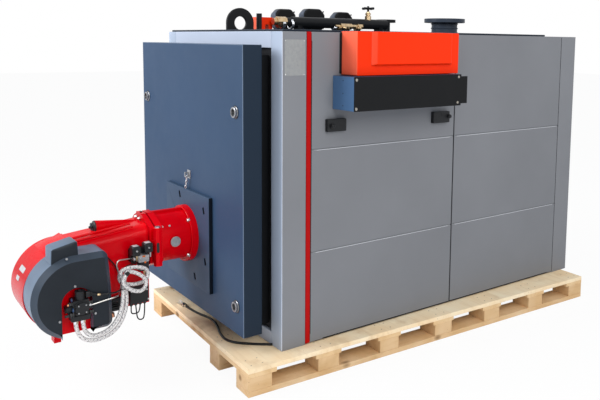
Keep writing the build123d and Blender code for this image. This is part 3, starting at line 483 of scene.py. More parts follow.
collar = [(0, 0.9), (0, 1.24), (3, 1.25), (8, 1.16), (22, 1.03), (26, 1.0), (26, 0.9)]
collar_form = stack(ring(85, 64), [*collar, collar[0]], (0, 1634, 1499.5), capped=False)
skin("nozzle_collar", [collar_form], nozzle_slate, "boiler")
skin("nozzle_beads", beads(85, 4, (1548, 1577), (0, 1634, 0)), nozzle_slate, "boiler")

# Lifting eye: flame-cut plate with a drilled eye, painted black. A fillet weld runs along its foot
# on both sides.
dress("lifting_eye", black_paint, 0.003)
weld = [(x, y, 1500) for x in (-9, 9) for y in range(55, 206, 6)]
dome = [(0, 1), (2.5, 0.9), (4.5, 0.5), (5, 0)]
skin("eye_weld", [(ring(5, 10), dome, weld)], black_paint, "boiler")

# Safety group on the top: vent stub, relief body and blanked stub, then three black boxes with rounded
# lids, screwed down at their corners.
for name in ("stub_nozzles", "manifold_pipe"):
    dress(name, black_paint, 0.003)


def moulded(name, colour, roughness=0.5):
    """Moulded plastic: a fine spark texture, a slight change of tone and a soft sheen."""

    def finish(places):
        cloud = places.noise(14, 2, 0.5)
        return {
            "Base Color": cloud.band(0.3, 0.7).tint([c * 0.86 for c in colour], [c * 1.12 for c in colour]),
            "Roughness": cloud.band(0.3, 0.7, roughness - 0.05, roughness + 0.05),
            "Normal": places.noise(1300, 2, 0.5).bump(0.25, 0.0002),
            "Specular IOR Level": 0.3,
        }

    return material(name, finish)


black_plastic = moulded("black_plastic", (0.011, 0.012, 0.014), 0.4)
# Painted light and shade: the boxes' forward faces are painted paler and their sideways faces darker.
box_black = powder(
    "box_black", (0.030, 0.033, 0.038), 0.35, side=(0.005, 0.0055, 0.0065), front=(0.10, 0.12, 0.16),
)
dress("junction_boxes", box_black, 0.012)
# Painted light: the orange's forward faces are painted paler, on the relief valve and the control housing.
orange = powder("orange", (0.93, 0.032, 0.001), 0.4, front=(1.0, 0.15, 0.075))
dress("relief_valve", orange, 0.004)
lid_screws = [
    (-99.6, y, z)
    for low, high, top in ((407, 545, 1636), (597, 748, 1644), (817, 954, 1632))
    for y in (low + 14, high - 14)
    for z in (1530, top - 16)
]
screw = [(-0.5, 1), (1.4, 1), (2.2, 0.82), (2.2, 0.45), (0.8, 0.38)]
skin("lid_screws", [(ring(4.5, 14), screw, lid_screws, to_right)], black_plastic, "boiler")

# Manifold: painted black pipe with a chromed union and copper nut at its front, brass test fittings on
# its side, and a brass valve with a black hand wheel.
brass = spotted("brass", (0.62, 0.48, 0.30), (0.42, 0.28, 0.15), 1.0, 0.26)
chrome = spotted("chrome", (0.80, 0.82, 0.86), (0.62, 0.65, 0.72), 1.0, 0.12)
dress("pipe_fittings", brass, 0.002)
nut = [(0, 0.94), (2, 1), (16, 1), (18, 0.94)]
neck_ring = beads(27, 5, (0, 6), (0, 449, 1550), to_front, 40)
skin("manifold_union", [*neck_ring, (ring(31, 8), nut, (0, 400, 1550), to_front)], chrome, "boiler")
fitting = [(0, 1), (3, 1.12), (6, 1), (10, 1), (12, 0.8), (14, 0)]
copper = spotted("copper", (0.80, 0.36, 0.20), (0.50, 0.20, 0.10), 1.0, 0.28)
skin("copper_nut", [(ring(24, 6), fitting, (0, 372, 1550), to_front)], copper, "boiler")
cap = [(0, 1), (4, 1), (5, 0.7), (9, 0.7), (10, 0.95), (15, 0.95), (17, 0.6)]
tests = [
    (ring(19, 6), cap, [(43, 757, 1533), (43, 895, 1533)], to_front),
    (ring(17, 6), cap, [(43, 800, 1533), (43, 862, 1533)], to_rear),
    (ring(8, 12), cap, [(58, 775, 1533), (58, 884, 1533)], to_right),
]
skin("test_fittings", tests, brass, "boiler")
skin("test_caps", [(ring(9, 12), cap, (43, 727, 1533), to_front)], chrome, "boiler")
valve_y, wheel_z = 994, 1654
gland = [(-14, 1), (20, 1), (23, 0.74), (28, 0.74), (30, 0.9), (38, 0.9), (41, 0.6), (46, 0.55)]
skin("valve_gland", [(ring(19, 6), gland, (0, valve_y, 1588))], brass, "boiler")
wheel = [
    *beads(33, 5.5, (0,), (0, valve_y, wheel_z), to_top, 44),
    (ring(12, 8), [(0, 1), (6, 1), (11, 0.7), (13, 0.55), (20, 0.55)], (0, valve_y, 1648)),
    (ring(6.5, 20), [(0, 1), (40, 1)], (0, valve_y, 1612)),
]
for turn in np.radians((20, 110, 200, 290)):
    arm = (math.cos(turn), math.sin(turn), 0)
    wheel.append((rounded(9, 7, 3), [(0, 1), (32, 1)], (0, valve_y, wheel_z), arm))
    boss = (33 * arm[0], valve_y + 33 * arm[1], wheel_z)
    wheel.append((ring(9, 16), [(-7, 0.9), (0, 1.05), (7, 0.9)], boss))
hand_wheel = skin("hand_wheel", wheel, black_paint, "boiler")
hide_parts("handwheel_valve")

# Rating plate: a bare aluminium plate on the side of the front trim, near its top. Four small drive
# rivets hold it.
bare = spotted("bare", (0.30, 0.31, 0.31), (0.26, 0.27, 0.28), 0.2, 0.45, 400)
sheet = [(0, 1), (0.9, 1), (1.3, 0.995)]
skin("rating_plate", [(rounded(110, 165, 4), sheet, (643.2, 67, 1381), to_right)], bare, "boiler")
rivets = [(644.4, y, z) for y in (17, 117) for z in (1304, 1458)]
rivet = [(0, 1), (0.8, 0.9), (1.3, 0.5), (1.5, 0)]
skin("plate_rivets", [(ring(2.4, 10), rivet, rivets, to_right)], zinc, "boiler")

# Control unit: an orange housing over the cable duct, with a raised front whose sides slope back, and
# a narrower plinth below. The duct is a blue box behind a black screwed plate.
shut = [(0, 1), (129, 1)]
case = [(np.array(((-331, -103), (331, -103), (331, 103), (-331, 103))), shut, (643, 658, 1402), to_right)]
foot = np.array(((772, 408, 1343), (772, 938, 1343), (772, 938, 1505), (772, 408, 1505)))
face = np.array(((794, 434, 1352), (794, 916, 1352), (794, 916, 1505), (794, 434, 1505)))
ends = [np.repeat(rows.mean(axis=0)[None], 4, 0) for rows in (foot, face)]
case.append(np.stack((ends[0], foot, face, ends[1]))[None])
orange_unit = skin("orange_case", case, orange, "boiler")
soften(orange_unit, 0.004)
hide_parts("control_unit")
# Painted light: the cable box's forward faces are painted paler.
box_blue = powder("box_blue", (0.030, 0.060, 0.120), 0.45, front=(0.070, 0.150, 0.290))
black_sheet = powder("black_sheet", (0.0075, 0.008, 0.009), 0.55)
dress("cable_box", box_blue, 0.003)
gasket = [(0, 1), (7, 1), (8, 0.99)]
skin("control_gasket", [(rounded(680, 196, 6), gasket, (643.2, 658, 1402), to_right)], black_sheet, "boiler")
dress("cable_box_plate", black_sheet, 0.0012)
plate_zinc = spotted("plate_zinc", (0.46, 0.42, 0.36), (0.30, 0.28, 0.25), 0.9, 0.4)
plate_screws = [(814, 294, 1282), (814, 293, 1148), (814, 952, 1283), (814, 948, 1152)]
washer = [(-0.5, 1), (0.4, 1), (0.7, 0.94)]
pan = [(0, 1), (0.7, 0.96), (0.5, 0.35), (0.4, 0)]
heads = [(ring(7), washer, plate_screws, to_right), (ring(4.6, 18), pan, plate_screws, to_right)]
skin("plate_screws", heads, plate_zinc, "boiler")
holes = [(727, 280, z) for z in (1276, 1216, 1158)]
skin("box_holes", [(ring(2.6, 12), [(0.6, 1), (-1, 1)], holes, to_front)], black_sheet, "boiler")
knob = [(0, 1), (3, 1.1), (10, 1.1), (12, 0.95), (15, 0.95), (17, 0.7)]
pad = [(0, 1), (20, 1), (22, 0.97)]
knobs = [
    (rounded(110, 60, 3), pad, (643, 294, 1059), to_right),
    (rounded(118, 60, 3), pad, (643, 984, 1059), to_right),
    (ring(10, 20), knob, [(665, 263, 1057), (665, 1033, 1062)], to_right),
    (ring(7, 20), [(0, 1), (1.4, 0.9), (0.6, 0.8)], (665, 985, 1074), to_right),
]
pads = skin("gland_knobs", knobs, black_plastic, "boiler")
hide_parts("gland_plates")

# Door: a folded sheet cover over the insulated door plate, hung on two plate hinges. Its faces are
# slate blue, with painted shade on its folded sides; the door plate's sides are painted black as
# the shade in the door's gap, with a fibre board on its face to the furnace.
# Painted shade: the cover's sideways faces take a darker slate.
door_slate = powder("door_slate", (0.033, 0.065, 0.124), 0.45, side=(0.013, 0.024, 0.042))
dress("door_cover", door_slate, 0.005)
# Painted shade: the burner plate's sideways faces take a darker slate.
dress("burner_plate", powder("plate_slate", (0.042, 0.074, 0.128), 0.45, side=(0.005, 0.008, 0.014)), 0.003)


def lined(places):
    """Painted shade: black on the sides, for the dark of the door's gap; fibre board, rough and stained, on
    the face to the furnace.
    """
    normal = places.normal()
    inner = normal.part(1).band(0.5, 0.7)
    wool = places.noise(90, 4, 0.7)
    stain = places.noise(3, 4, 0.6).band(0.4, 0.7)
    board = stain.tint((0.56, 0.50, 0.40), (0.30, 0.26, 0.20))
    return {
        # The black on the sides is painted shade.
        "Base Color": inner.tint((0.006, 0.007, 0.009), board),
        "Roughness": inner.band(0, 1, 0.55, 0.95),
        "Normal": (wool * inner).bump(0.8, 0.002),
        "Specular IOR Level": 0.2,
    }


dress("inner_door", material("door_lining", lined), 0.003)
dress("hinge_brackets", black_paint, 0.002)
dress("hinge_arms", black_paint, 0.003)
dress("hinge_pins", zinc, 0.0015)

# Door locks: four plated rings with a black hexagon socket, one near each corner. A black ring
# round each is painted shadow; two pale lines along the cover's folded edges are painted highlights.
locks = [(x, -165, z) for x in (-563, 507) for z in (215, 1130)]
lock_zinc = spotted("lock_zinc", (0.34, 0.34, 0.35), (0.22, 0.22, 0.23), 0.8, 0.3)
barrel = [(0, 1.08), (2, 1.1), (4, 1), (13, 1), (14, 0.94), (14, 0.68), (4, 0.62)]
barrels = skin("lock_barrels", [(ring(25, 40), barrel, locks, to_front)], lock_zinc, "door")
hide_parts("door_locks")
socket = [(3, 1), (9, 1), (9.5, 0.9), (5, 0.5)]
skin("lock_sockets", [(ring(15.5, 6), socket, locks, to_front)], black_plastic, "door")
# Painted shadow: a thin black ring round each lock.
shade_ring = [(0, 1), (0.8, 1), (1.2, 0.9)]
skin("lock_shadow_rings", [(ring(31, 40), shade_ring, locks, to_front)], black_plastic, "door")
# Painted highlights: pale beads along the cover's folded edges, where they catch the light.
door_edge_highlight = powder("door_edge_highlight", (0.15, 0.20, 0.28))
long_highlight = [(0, 1), (1354, 1)]
highlight_lines = [
    (ring(1.8, 10), long_highlight, (575.8, -163.8, 82)),
    (ring(1.4, 10), [(0, 1), (1206, 1)], (-631, -163.6, 1436.4), to_right),
]
skin("door_edge_highlights", highlight_lines, door_edge_highlight, "door")

# Staple on the door: a plated hook with a short chain of five links that hangs from it, above the
# burner plate.
dress("door_staple", dull_zinc, 0.001)


def links(centres, along, wire, length, width):
    """Chain links: a wire ring drawn out along its run, every other one turned a quarter round."""
    shapes = []
    turn = np.linspace(0, 2 * np.pi, 13)
    run = np.array(along, float) / np.linalg.norm(along)
    for place, centre in enumerate(centres):
        aside = np.cross(run, to_front) if place % 2 else np.array((0, -1.0, 0))
        way = ring(1, 20)
        line = way[:, :1] * run * (length / 2 - wire) + way[:, 1:] * aside * (width / 2 - wire)
        outward = unit(way[:, :1] * run * width + way[:, 1:] * aside * length)
        over = np.cross(run, aside)
        tube = np.cos(turn)[:, None, None] * outward + np.sin(turn)[:, None, None] * over
        shapes.append(np.array(centre, float) + line + wire * tube)
    return shapes


chain = [(2 - 3.6 * step, -182, 752 - 13.5 * step) for step in range(5)]
skin("chain", [shape[None] for shape in links(chain, (-3.6, 0, -13.5), 2.4, 21, 14)], zinc, "door")

# Burner plate: a raised slate plate on the door with four slanted slots, which show black behind
# the sheet.
burner_axis = 460
slot_places = [(x, -185, burner_axis + z) for x, z in ((-87, 186), (200, 152), (213, -104), (90, -212))]
pit = [(-17, 1.02), (-6, 1.02)]
plate_slots = [(rounded(17, 35, 8), pit, slot_places, to_front, math.radians(20))]
skin("plate_slots", plate_slots, black_plastic, "door")

# Burner neck: a red enamelled casting between the door plate and the swing joint, with a rib, a sight
# disc and socket screws. A steel pin joins its two outer knuckles to the housing's middle one.


def enamel(name, colour, roughness=0.2):
    """Gloss enamel on a sand casting: a wet coat over the casting's soft grain."""

    def finish(places):
        cloud = places.noise(5, 3, 0.6)
        grain = places.noise(230, 3, 0.55)
        dirt = places.noise(40, 5, 0.7).band(0.62, 0.8, 0, 0.35)
        red = cloud.band(0.35, 0.65).tint([c * 0.82 for c in colour], colour)
        normal = places.normal()
        # Painted shade: faces that look to the front, towards the front lamp, are darkened.
        red = normal.part(1).band(-0.3, -0.9).tint(red, [c * 0.6 for c in colour])
        return {
            "Base Color": dirt.tint(red, (0.16, 0.0, 0.0)),
            "Roughness": cloud.band(0.3, 0.7, roughness, roughness + 0.1),
            "Coat Weight": 0.05,
            "Coat Roughness": 0.06,
            "Normal": grain.bump(0.2, 0.0007),
            "Specular IOR Level": 0.06,
        }

    return material(name, finish)


cast_red = enamel("cast_red", (0.80, 0.0, 0.006))
dress("burner_tube", slate, 0.001)
dress("burner_neck", cast_red, 0.004)
dress("swing_pin", zinc, 0.0015)
bead_shapes = beads(135, 5, (0,), (0, -215, burner_axis), to_front, 64)
bead_shapes += beads(128, 3.5, (0, -9), (0, -371, burner_axis), (0, 1, 0), 64)
skin("neck_beads", bead_shapes, cast_red, "door")
head = [(0, 1.5), (2.5, 1.5), (3, 1), (11, 1), (13, 0.86)]
turns = np.radians((42, -42, 138, -138))
flange_bolts = [(134 * math.cos(t), -216, burner_axis + 134 * math.sin(t)) for t in turns]
skin("flange_bolts", [(ring(8, 6), head, flange_bolts, to_front)], zinc, "door")
small = [(0, 1), (3, 1), (4.4, 0.8), (4.4, 0.4), (2.6, 0.35)]
grub = [(ring(5.5, 14), small, [(x, y, 584)], (x, 0, 124)) for x, y in ((-1, -305), (-9, -278))]
grub += [(ring(5.5, 14), small, [(101, y, 535)], (101, 0, 75)) for y in (-358, -321)]
skin("neck_screws", grub, zinc, "door")
disc = [(0, 1), (1.5, 1), (2.5, 0.96), (2.5, 0.86), (1.6, 0.84)]
skin("sight_disc", [(ring(26, 40), disc, (133, -303, burner_axis), to_right)], dull_zinc, "door")
slot_side = np.array((0.96, -0.28, 0))
window = [(0, 1), (1.2, 1), (1.2, 0.8), (-3, 0.7)]
window_place = np.array((166, -408, burner_axis)) + 20.6 * slot_side
skin("knuckle_window", [(rounded(13, 50, 6), window, window_place, slot_side)], black_plastic)

# Burner housing: one red casting with the fan's spiral, the air duct and the joint flange; beads run
# along the duct's upper edges. Its two label plates are bare.
dress("burner_housing", cast_red, 0.004)
dress("mixing_head", zinc, 0.001)
bar = [(0, 1), (300, 0.8)]
ridges = [
    (ring(6.5, 16), bar, (99, -800, 527), (-8, 300, 31)),
    (ring(6.5, 16), bar, (58, -800, 532), (-5, 300, 32)),
]
skin("duct_beads", ridges, cast_red)
saddle = np.array((
    (-784, 490), (-784, 525.6), (-815, 521), (-850, 513), (-885, 499.5), (-908, 488), (-880, 478),
))
saddle_middle = saddle.mean(axis=0)
saddle_rows = [(0, 0.9), (6, 1), (184, 1), (190, 0.9)]
skin("duct_saddle", [(saddle - saddle_middle, saddle_rows, [(-95, *saddle_middle)], to_right)], cast_red)
skin("joint_bolts", [(ring(7, 6), head, [(-34, -436, 572), (6, -436, 570)], to_front)], zinc)
skin("joint_stud", [(ring(7, 6), small, (-12, -423, 596), to_top)], black_paint)
fan_y, fan_z = -817, 310
white_label = moulded("white_label", (0.46, 0.45, 0.46), 0.5)
for name, turn, middle, width, tall in (("label_wide", 147.7, 8, 76, 25), ("label_small", 161.0, -6, 46, 20)):
    way = np.array((0, math.cos(math.radians(turn)), math.sin(math.radians(turn))))
    place = np.array((middle, fan_y, fan_z)) + way * (202 - 10 * (turn - 90) / 90)
    skin(name, [(rounded(width, tall, 3), [(-3, 1), (1.0, 1), (1.4, 0.98)], [place], way)], white_label)

# Air damper: a black drive on the duct's ridge, with a slate pointer plate and a knob. A clamp screw
# sits beside it.
slate_plastic = moulded("slate_plastic", (0.030, 0.042, 0.056), 0.42)
drum = [(0, 0.9), (1, 1), (6, 1), (8, 0.93), (9, 0.55), (12, 0.5)]
drive = skin("damper_drum", [(ring(31, 44), drum, (-14, -650, 553), to_front)], black_plastic)
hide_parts("damper_drive")
pointer = [(0, 1), (3, 1), (4, 0.94)]
skin("damper_pointer", [(rounded(20, 62, 9), pointer, (-30, -661, 541), to_front, 0.25)], slate_plastic)
skin("damper_knob", [(ring(6.5, 18), knob, (-14, -662, 556), to_front)], black_plastic)
skin("damper_screw", [(ring(6, 6), head, (-48, -690, 517), (-0.3, -0.6, 0.7))], zinc)

# Fan motor on the far side: a slate drum with cast cooling fins. The photograph doesn't show it, so
# its form is the usual one.
dress("fan_motor", slate_plastic, 0.004)
fins = []
for turn in np.radians(np.arange(0, 360, 15)):
    way = np.array((0, math.cos(turn), math.sin(turn)))
    start = np.array((-120, fan_y, fan_z)) + 84 * way
    fins.append((rounded(4, 14, 1.5, 3), [(0, 1), (180, 1), (183, 0.6)], [start], (-1, 0, 0), turn))
skin("motor_fins", fins, slate_plastic)

# Air cover: a moulded slate shell with a wide bevel round its face, screwed over the fan's inlet; the
# red inlet plate shows in its arch and carries the pump.


def shell(places):
    """Slate moulding with a spark texture; its sides are painted lighter as painted light, its slopes mid,
    and its face darker as painted shade.
    """
    normal = places.normal()
    sloped = normal.part(0).band(0.2, 0.6)
    face = normal.part(0).band(0.85, 0.97)
    cloud = places.noise(9, 3, 0.5)
    # Painted light and shade: a lit slate for the sides, a mid slate for the slopes and a shaded slate for
    # the face.
    side = cloud.band(0.3, 0.7).tint((0.100, 0.140, 0.200), (0.130, 0.178, 0.250))
    slope = cloud.band(0.3, 0.7).tint((0.036, 0.050, 0.070), (0.044, 0.060, 0.084))
    front = cloud.band(0.3, 0.7).tint((0.011, 0.015, 0.021), (0.015, 0.020, 0.027))
    return {
        "Base Color": face.tint(sloped.tint(side, slope), front),
        "Roughness": cloud.band(0.3, 0.7, 0.36, 0.46),
        "Normal": places.noise(1100, 2, 0.5).bump(0.2, 0.0002),
        "Specular IOR Level": 0.2,
    }


def spread(points, count):
    """Points set evenly along a path."""
    run = np.r_[0, np.cumsum(np.linalg.norm(np.diff(points, axis=0), axis=1))]
    even = np.linspace(0, run[-1], count)
    return np.c_[np.interp(even, run, points[:, 0]), np.interp(even, run, points[:, 1])]


def arc(middle, radius, start, end):
    """Points of an arc, its angles in degrees."""
    turn = np.radians(np.linspace(start, end, 48))
    return np.array(middle) + radius * np.c_[np.cos(turn), np.sin(turn)]


scroll_rim = np.concatenate((
    arc((-818, 322), 188, 249, 90), arc((-706, 478), 32, 90, 12), [(-669, 430), (-663, 336)],
    arc((-690, 184), 30, 0, -90), [(-754, 154)],
))
arch_rim = np.concatenate(([(-886, 147)], arc((-820, 305), 66, 180, 0), [(-754, 154)]))
rim, arch = spread(scroll_rim, 150), spread(arch_rim, 150)
along = unit(np.gradient(rim, axis=0))
front = rim + 22 * np.c_[along[:, 1], -along[:, 0]]
front[:25, 0] = np.minimum(front[:25, 0], -886)
section = [
    np.c_[np.full(150, x), line]
    for x, line in ((115, arch), (275, arch), (275, front), (245, rim), (115, rim))
]
cover_rows = np.stack(section, axis=1)
tips = [np.repeat(row.mean(axis=0)[None], 5, 0)[None] for row in (cover_rows[0], cover_rows[-1])]
cover_form = np.concatenate((tips[0], cover_rows, tips[1]))[None]
cover = skin("cover_shell", [cover_form], material("cover_slate", shell))
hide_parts("air_cover")
box_shape = np.array(((-917, 480), (-915, 545), (-908, 550), (-813, 571), (-804, 566), (-800, 500)))
box_rows = [(0, 1), (90, 1), (94, 0.97), (95, 0.93)]
box_middle = box_shape.mean(axis=0)
box_form = (box_shape - box_middle, box_rows, (150, *box_middle), to_right)
box_piece = skin("top_box", [box_form], material("box_shell", shell), sharp=50)
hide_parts("burner_top_box")
dress("inlet_plate", cast_red, 0.0015)
cover_screws = [
    (ring(5.5, 14), small, [(275, -828, 380), (275, -744, 239), (275, -896, 234)], to_right),
    (ring(5.5, 14), small, (262, -856, 502), (0.6, 0, 0.8)),
]
skin("cover_screws", cover_screws, dull_zinc)

# Oil pump: a black anodised gear pump on the inlet plate. Its solenoid stands on top, plugs and a
# pressure screw are on its sides, and two plated hose fittings hang below.
dress("oil_pump", black_plastic, 0.002)
block = [(0, 0.96), (2, 1), (38, 1), (42, 0.92)]
plug_body = [(0, 1), (16, 1), (18, 0.85), (26, 0.7), (28, 0.4)]
rib = [(0, 1), (3, 1), (4, 0.85)]
pump_parts = [
    (rounded(86, 34, 8), block, (258, -812, 244), to_right),
    (rounded(30, 22, 5), block, (250, -858, 284), to_right),
    (rounded(24, 26, 4), plug_body, (284, -788, 338), to_rear),
    (ring(31, 30), rib, (300, -810, 285), to_right),
    (ring(13, 6), cap, [(285, -845, 304), (300, -845, 262), (266, -845, 268)], to_front),
    (ring(9, 6), cap, [(302, -776, 262), (290, -776, 300)], to_rear),
    (ring(7, 6), cap, [(300, y, z) for z in (300, 266) for y in (-832, -788)], to_right),
    (ring(6, 12), nut, (302, -863, 262), to_front),
    (ring(8, 6), small, (278, -810, 358), to_top),
]
skin("pump_parts", pump_parts, black_plastic)
tip_places = [(314, -826, 301), (314, -794, 301), (314, -794, 269), (314, -826, 269)]
pump_tips = [
    (ring(3.6, 12), small, tip_places, to_right),
    (ring(9, 6), nut, (288, -762, 286), to_front),
]
skin("pump_screws", pump_tips, dull_zinc)
skin("pump_tip", [(ring(7, 14), small, (285, -862, 304), to_front)], copper)
blue_cap = moulded("blue_cap", (0.03, 0.07, 0.16), 0.4)
skin("pump_plugs", [(ring(9, 12), small, [(302, -845, 283), (282, -845, 322)], to_front)], blue_cap)
ferrule = [(0, 1.1), (-14, 1.1), (-15, 0.86), (-22, 0.86), (-23, 0.95), (-38, 0.95), (-39, 0.8)]
skin("hose_fittings", [(ring(12, 6), ferrule, [(278, -831, 250), (278, -800, 250)])], chrome)

# Valve block: two black solenoids on a plated body, with brass and steel stems, pale type plates
# and hexagon fittings. It stands on a black foot that is bolted to the duct's side.
coil_rows = [(0, 0.95), (2, 1), (38, 1), (42, 0.92)]
valve_parts = [
    (rounded(40, 46, 6), coil_rows, [(150, -521, 461), (150, -462, 469)], to_right),
    (rounded(88, 66, 6), [(0, 1), (33, 1), (35, 0.96)], (115, -491, 428), to_right),
    (rounded(46, 48, 5), [(0, 1), (33, 1), (36, 0.92)], (150, -483, 383), to_right),
    (ring(12, 20), [(0, 1), (2, 1), (3, 0.8)], [(192, -521, 463), (192, -462, 471)], to_right),
]
valve = skin("valve_coils", valve_parts, black_plastic)
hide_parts("valve_block")
plated = [
    (rounded(54, 34, 5), [(0, 1), (36, 1), (38, 0.92)], (150, -486, 420), to_right),
    (ring(10, 6), nut, (170, -513, 421), to_front),
    (ring(9, 6), small, [(188, -500, 424), (188, -474, 418)], to_right),
    (ring(5, 6), small, [(195, -521, 463), (195, -462, 471)], to_right),
    (ring(5, 14), [(0, 1), (-16, 1), (-17, 0.7), (-24, 0.7)], (182, -452, 447)),
]
skin("valve_body", plated, dull_zinc)
pin_shape = [(0, 1), (-17, 1), (-18, 0.7), (-26, 0.7)]
brass_parts = [(ring(5.5, 14), pin_shape, (182, -518, 439)), (ring(9, 6), pin_shape, (168, -476, 360))]
skin("valve_pins", brass_parts, brass)
plate = [(0, 1), (0.8, 1), (1.1, 0.96)]
skin("valve_plates", [(rounded(30, 26, 2), plate, [(171, -521, 484), (171, -462, 492)])], white_label)
signal = moulded("signal", (0.70, 0.16, 0.03), 0.4)
lights = [
    (rounded(14, 7, 2), small, (188, -486, 432), to_right),
    (ring(5, 14), small, (186, -480, 402), to_right),
]
skin("valve_lights", lights, signal)

# Terminal box: a black moulded box with a screwed lid, cable glands below, and the ignition
# transformer beside it.
dress("terminal_box", black_plastic, 0.003)
lid = [(0, 1), (3, 1), (5, 0.96)]
glands = [(0, 1), (-8, 1), (-9, 0.8), (-14, 0.75), (-15, 0)]
slat = [(0, 1), (3, 1), (4, 0.8)]
boxes = [
    (rounded(90, 80, 6), lid, (160, -501.5, 238), to_right),
    (ring(9, 6), glands, [(137, y, 196) for y in (-534, -512, -490, -468)]),
    (rounded(66, 62, 5), [(0, 1), (26, 1), (30, 0.92)], (115, -612, 206), to_right),
    (rounded(62, 4, 1.5, 3), slat, [(145, -612, z) for z in range(186, 227, 10)], to_right),
]
skin("terminal_parts", boxes, black_plastic)
lid_corners = [(164, -466, 260), (164, -460, 212), (164, -540, 262)]
skin("terminal_screws", [(ring(4.5, 14), small, lid_corners, to_right)], zinc)
skin("transformer_coil", [(ring(13, 20), nut, (144, -630, 172), (0.4, 0, -1))], copper)

# Oil pipe: a bent steel tube from the valve block to the pump's pressure nut. It drops behind the
# coil of the hoses and comes out below it.


def curve(name, route):
    """A curve of one smooth NURBS spline whose control points are the route's, in millimetres."""
    line = bpy.data.curves.new(name, "CURVE")
    line.dimensions = "3D"
    line.resolution_u = 16
    spline = line.splines.new("NURBS")
    spline.points.add(len(route) - 1)
    spline.points.foreach_set("co", np.c_[metres(route), np.ones(len(route))].ravel())
    spline.order_u = 3
    spline.use_endpoint_u = True
    return line


def lead(name, route, diameter, finish, body="burner"):
    """A round lead or tube along a route, its ends capped."""
    line = curve(name, route)
    line.bevel_depth = diameter / 2000
    line.bevel_resolution = 5
    line.use_fill_caps = True
    return settle(name, line, finish, body)


tube_steel = spotted("tube_steel", (0.66, 0.65, 0.62), (0.50, 0.48, 0.45), 1.0, 0.3)
pipe_route = (
    (150, -514, 421), (155, -550, 422), (160, -575, 424), (166, -600, 426), (170, -612, 411),
    (172, -606, 385), (177, -600, 350), (184, -596, 325), (196, -602, 296), (216, -616, 284),
    (240, -628, 288), (264, -638, 294), (284, -660, 297), (286, -690, 295), (287, -730, 290),
    (288, -766, 286),
)
pipe = lead("oil_tube", pipe_route, 7, tube_steel)
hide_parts("oil_pipe")

# Oil hoses: two rubber hoses in a bright wire braid with dark tracer threads. They drop from the pump
# in a bow and end in a tied coil of loose loops, ready to be joined to the oil line.


def braid(uv):
    """Wire braid: two crossed sets of strands round and along the hose, dark where neither lies on
    top, with a dark tracer thread in one set."""
    round_hose = uv.part(0)
    along = uv.part(1)
    first = (round_hose * 5 + along * 2.4).maths("FRACT", round_hose * 5 + along * 2.4)
    second = first.maths("FRACT", round_hose * 5 - along * 2.4)
    strand_a = first.band(0, 1, 0, 6.2832)
    strand_b = second.band(0, 1, 0, 6.2832)
    swell_a = strand_a.maths("COSINE", strand_a)
    swell_b = strand_b.maths("COSINE", strand_b)
    top = swell_a.maths("MAXIMUM", swell_a, swell_b)
    tracer = first.maths("FRACT", round_hose * 2 + along * 0.96).band(0.82, 0.86)
    beat = first.maths("FRACT", along * 1.3 - round_hose).band(0.5, 0.55)
    other = first.maths("FRACT", round_hose * 2 - along * 0.83).band(0.90, 0.93)
    pause = first.maths("FRACT", along * 1.3 + round_hose).band(0.55, 0.6)
    dark = tracer * beat
    brown = other * pause
    bright = top.band(-0.7, 0.4).tint((0.36, 0.35, 0.35), (0.95, 0.93, 0.92))
    return {
        "Base Color": (dark * 0.9).tint((brown * 0.7).tint(bright, (0.16, 0.12, 0.10)), (0.05, 0.05, 0.10)),
        "Roughness": top.band(-1, 1, 0.55, 0.32),
        "Metallic": 0.35,
        "Normal": top.bump(0.8, 0.0012),
    }


def hose(name, route, diameter, finish, body="burner"):
    """A tube round the points of its NURBS line: place + radius * (cos * side + sin * over), where
    side stands square to the run, and u goes round the hose and v along it in diameters."""
    thread = bpy.data.objects.new(name + "_line", curve(name + "_line", route))
    join(thread)
    bpy.context.view_layer.update()
    line = bpy.data.meshes.new_from_object(thread)
    path = np.empty(len(line.vertices) * 3)
    line.vertices.foreach_get("co", path)
    path = path.reshape(-1, 3)
    bpy.data.objects.remove(thread)
    run = unit(np.gradient(path, axis=0))
    side = unit(np.cross(run, (1.0, 0, 0)))
    over = np.cross(run, side)
    turn = np.linspace(0, 2 * np.pi, 25)
    radius = diameter / 2000
    about = np.cos(turn)[:, None] * side[:, None, :] + np.sin(turn)[:, None] * over[:, None, :]
    tube = path[:, None, :] + radius * about
    step = np.r_[0, np.cumsum(np.linalg.norm(np.diff(path, axis=0), axis=1))]
    rows, columns = tube.shape[:2]
    order = np.arange(rows * columns).reshape(rows, columns)
    faces = np.stack((order[:-1, :-1], order[1:, :-1], order[1:, 1:], order[:-1, 1:]), -1).reshape(-1, 4)
    ends = [order[0, :-1].tolist(), order[-1, :-1][::-1].tolist()]
    mesh = bpy.data.meshes.new(name)
    mesh.from_pydata(tube.reshape(-1, 3).tolist(), [], faces.tolist() + ends)
    across = np.tile(np.linspace(0, 1, columns), rows)
    down = np.repeat(step / (diameter / 1000), columns)
    corners = np.empty(len(mesh.loops), int)
    mesh.loops.foreach_get("vertex_index", corners)
    layer = mesh.uv_layers.new(name="run")
    layer.uv.foreach_set("vector", np.c_[across, down][corners].ravel())
    close_up(mesh, 50)
    return settle(name, mesh, finish, body), path


def loops(x, step_x, turns, size, shrink, middle, lean):
    """Control points of a coil, sixteen a turn: half circles of the oval's height joined by straight
    runs, leaning by an angle. The coil moves over by step_x and shrinks by a share in each turn."""
    part = np.arange(1, int(16 * turns) + 1) / 16
    turn = np.pi - part * 2 * np.pi
    reach = 1 - shrink * part
    radius = size[1] / 2
    across = reach * (radius * np.cos(turn) + (size[0] / 2 - radius) * np.clip(1.5 * np.cos(turn), -1, 1))
    up = reach * radius * np.sin(turn)
    y = middle[0] + across * math.cos(lean) - up * math.sin(lean)
    z = middle[1] + across * math.sin(lean) + up * math.cos(lean)
    return [tuple(point) for point in np.c_[x + step_x * part, y, z]]


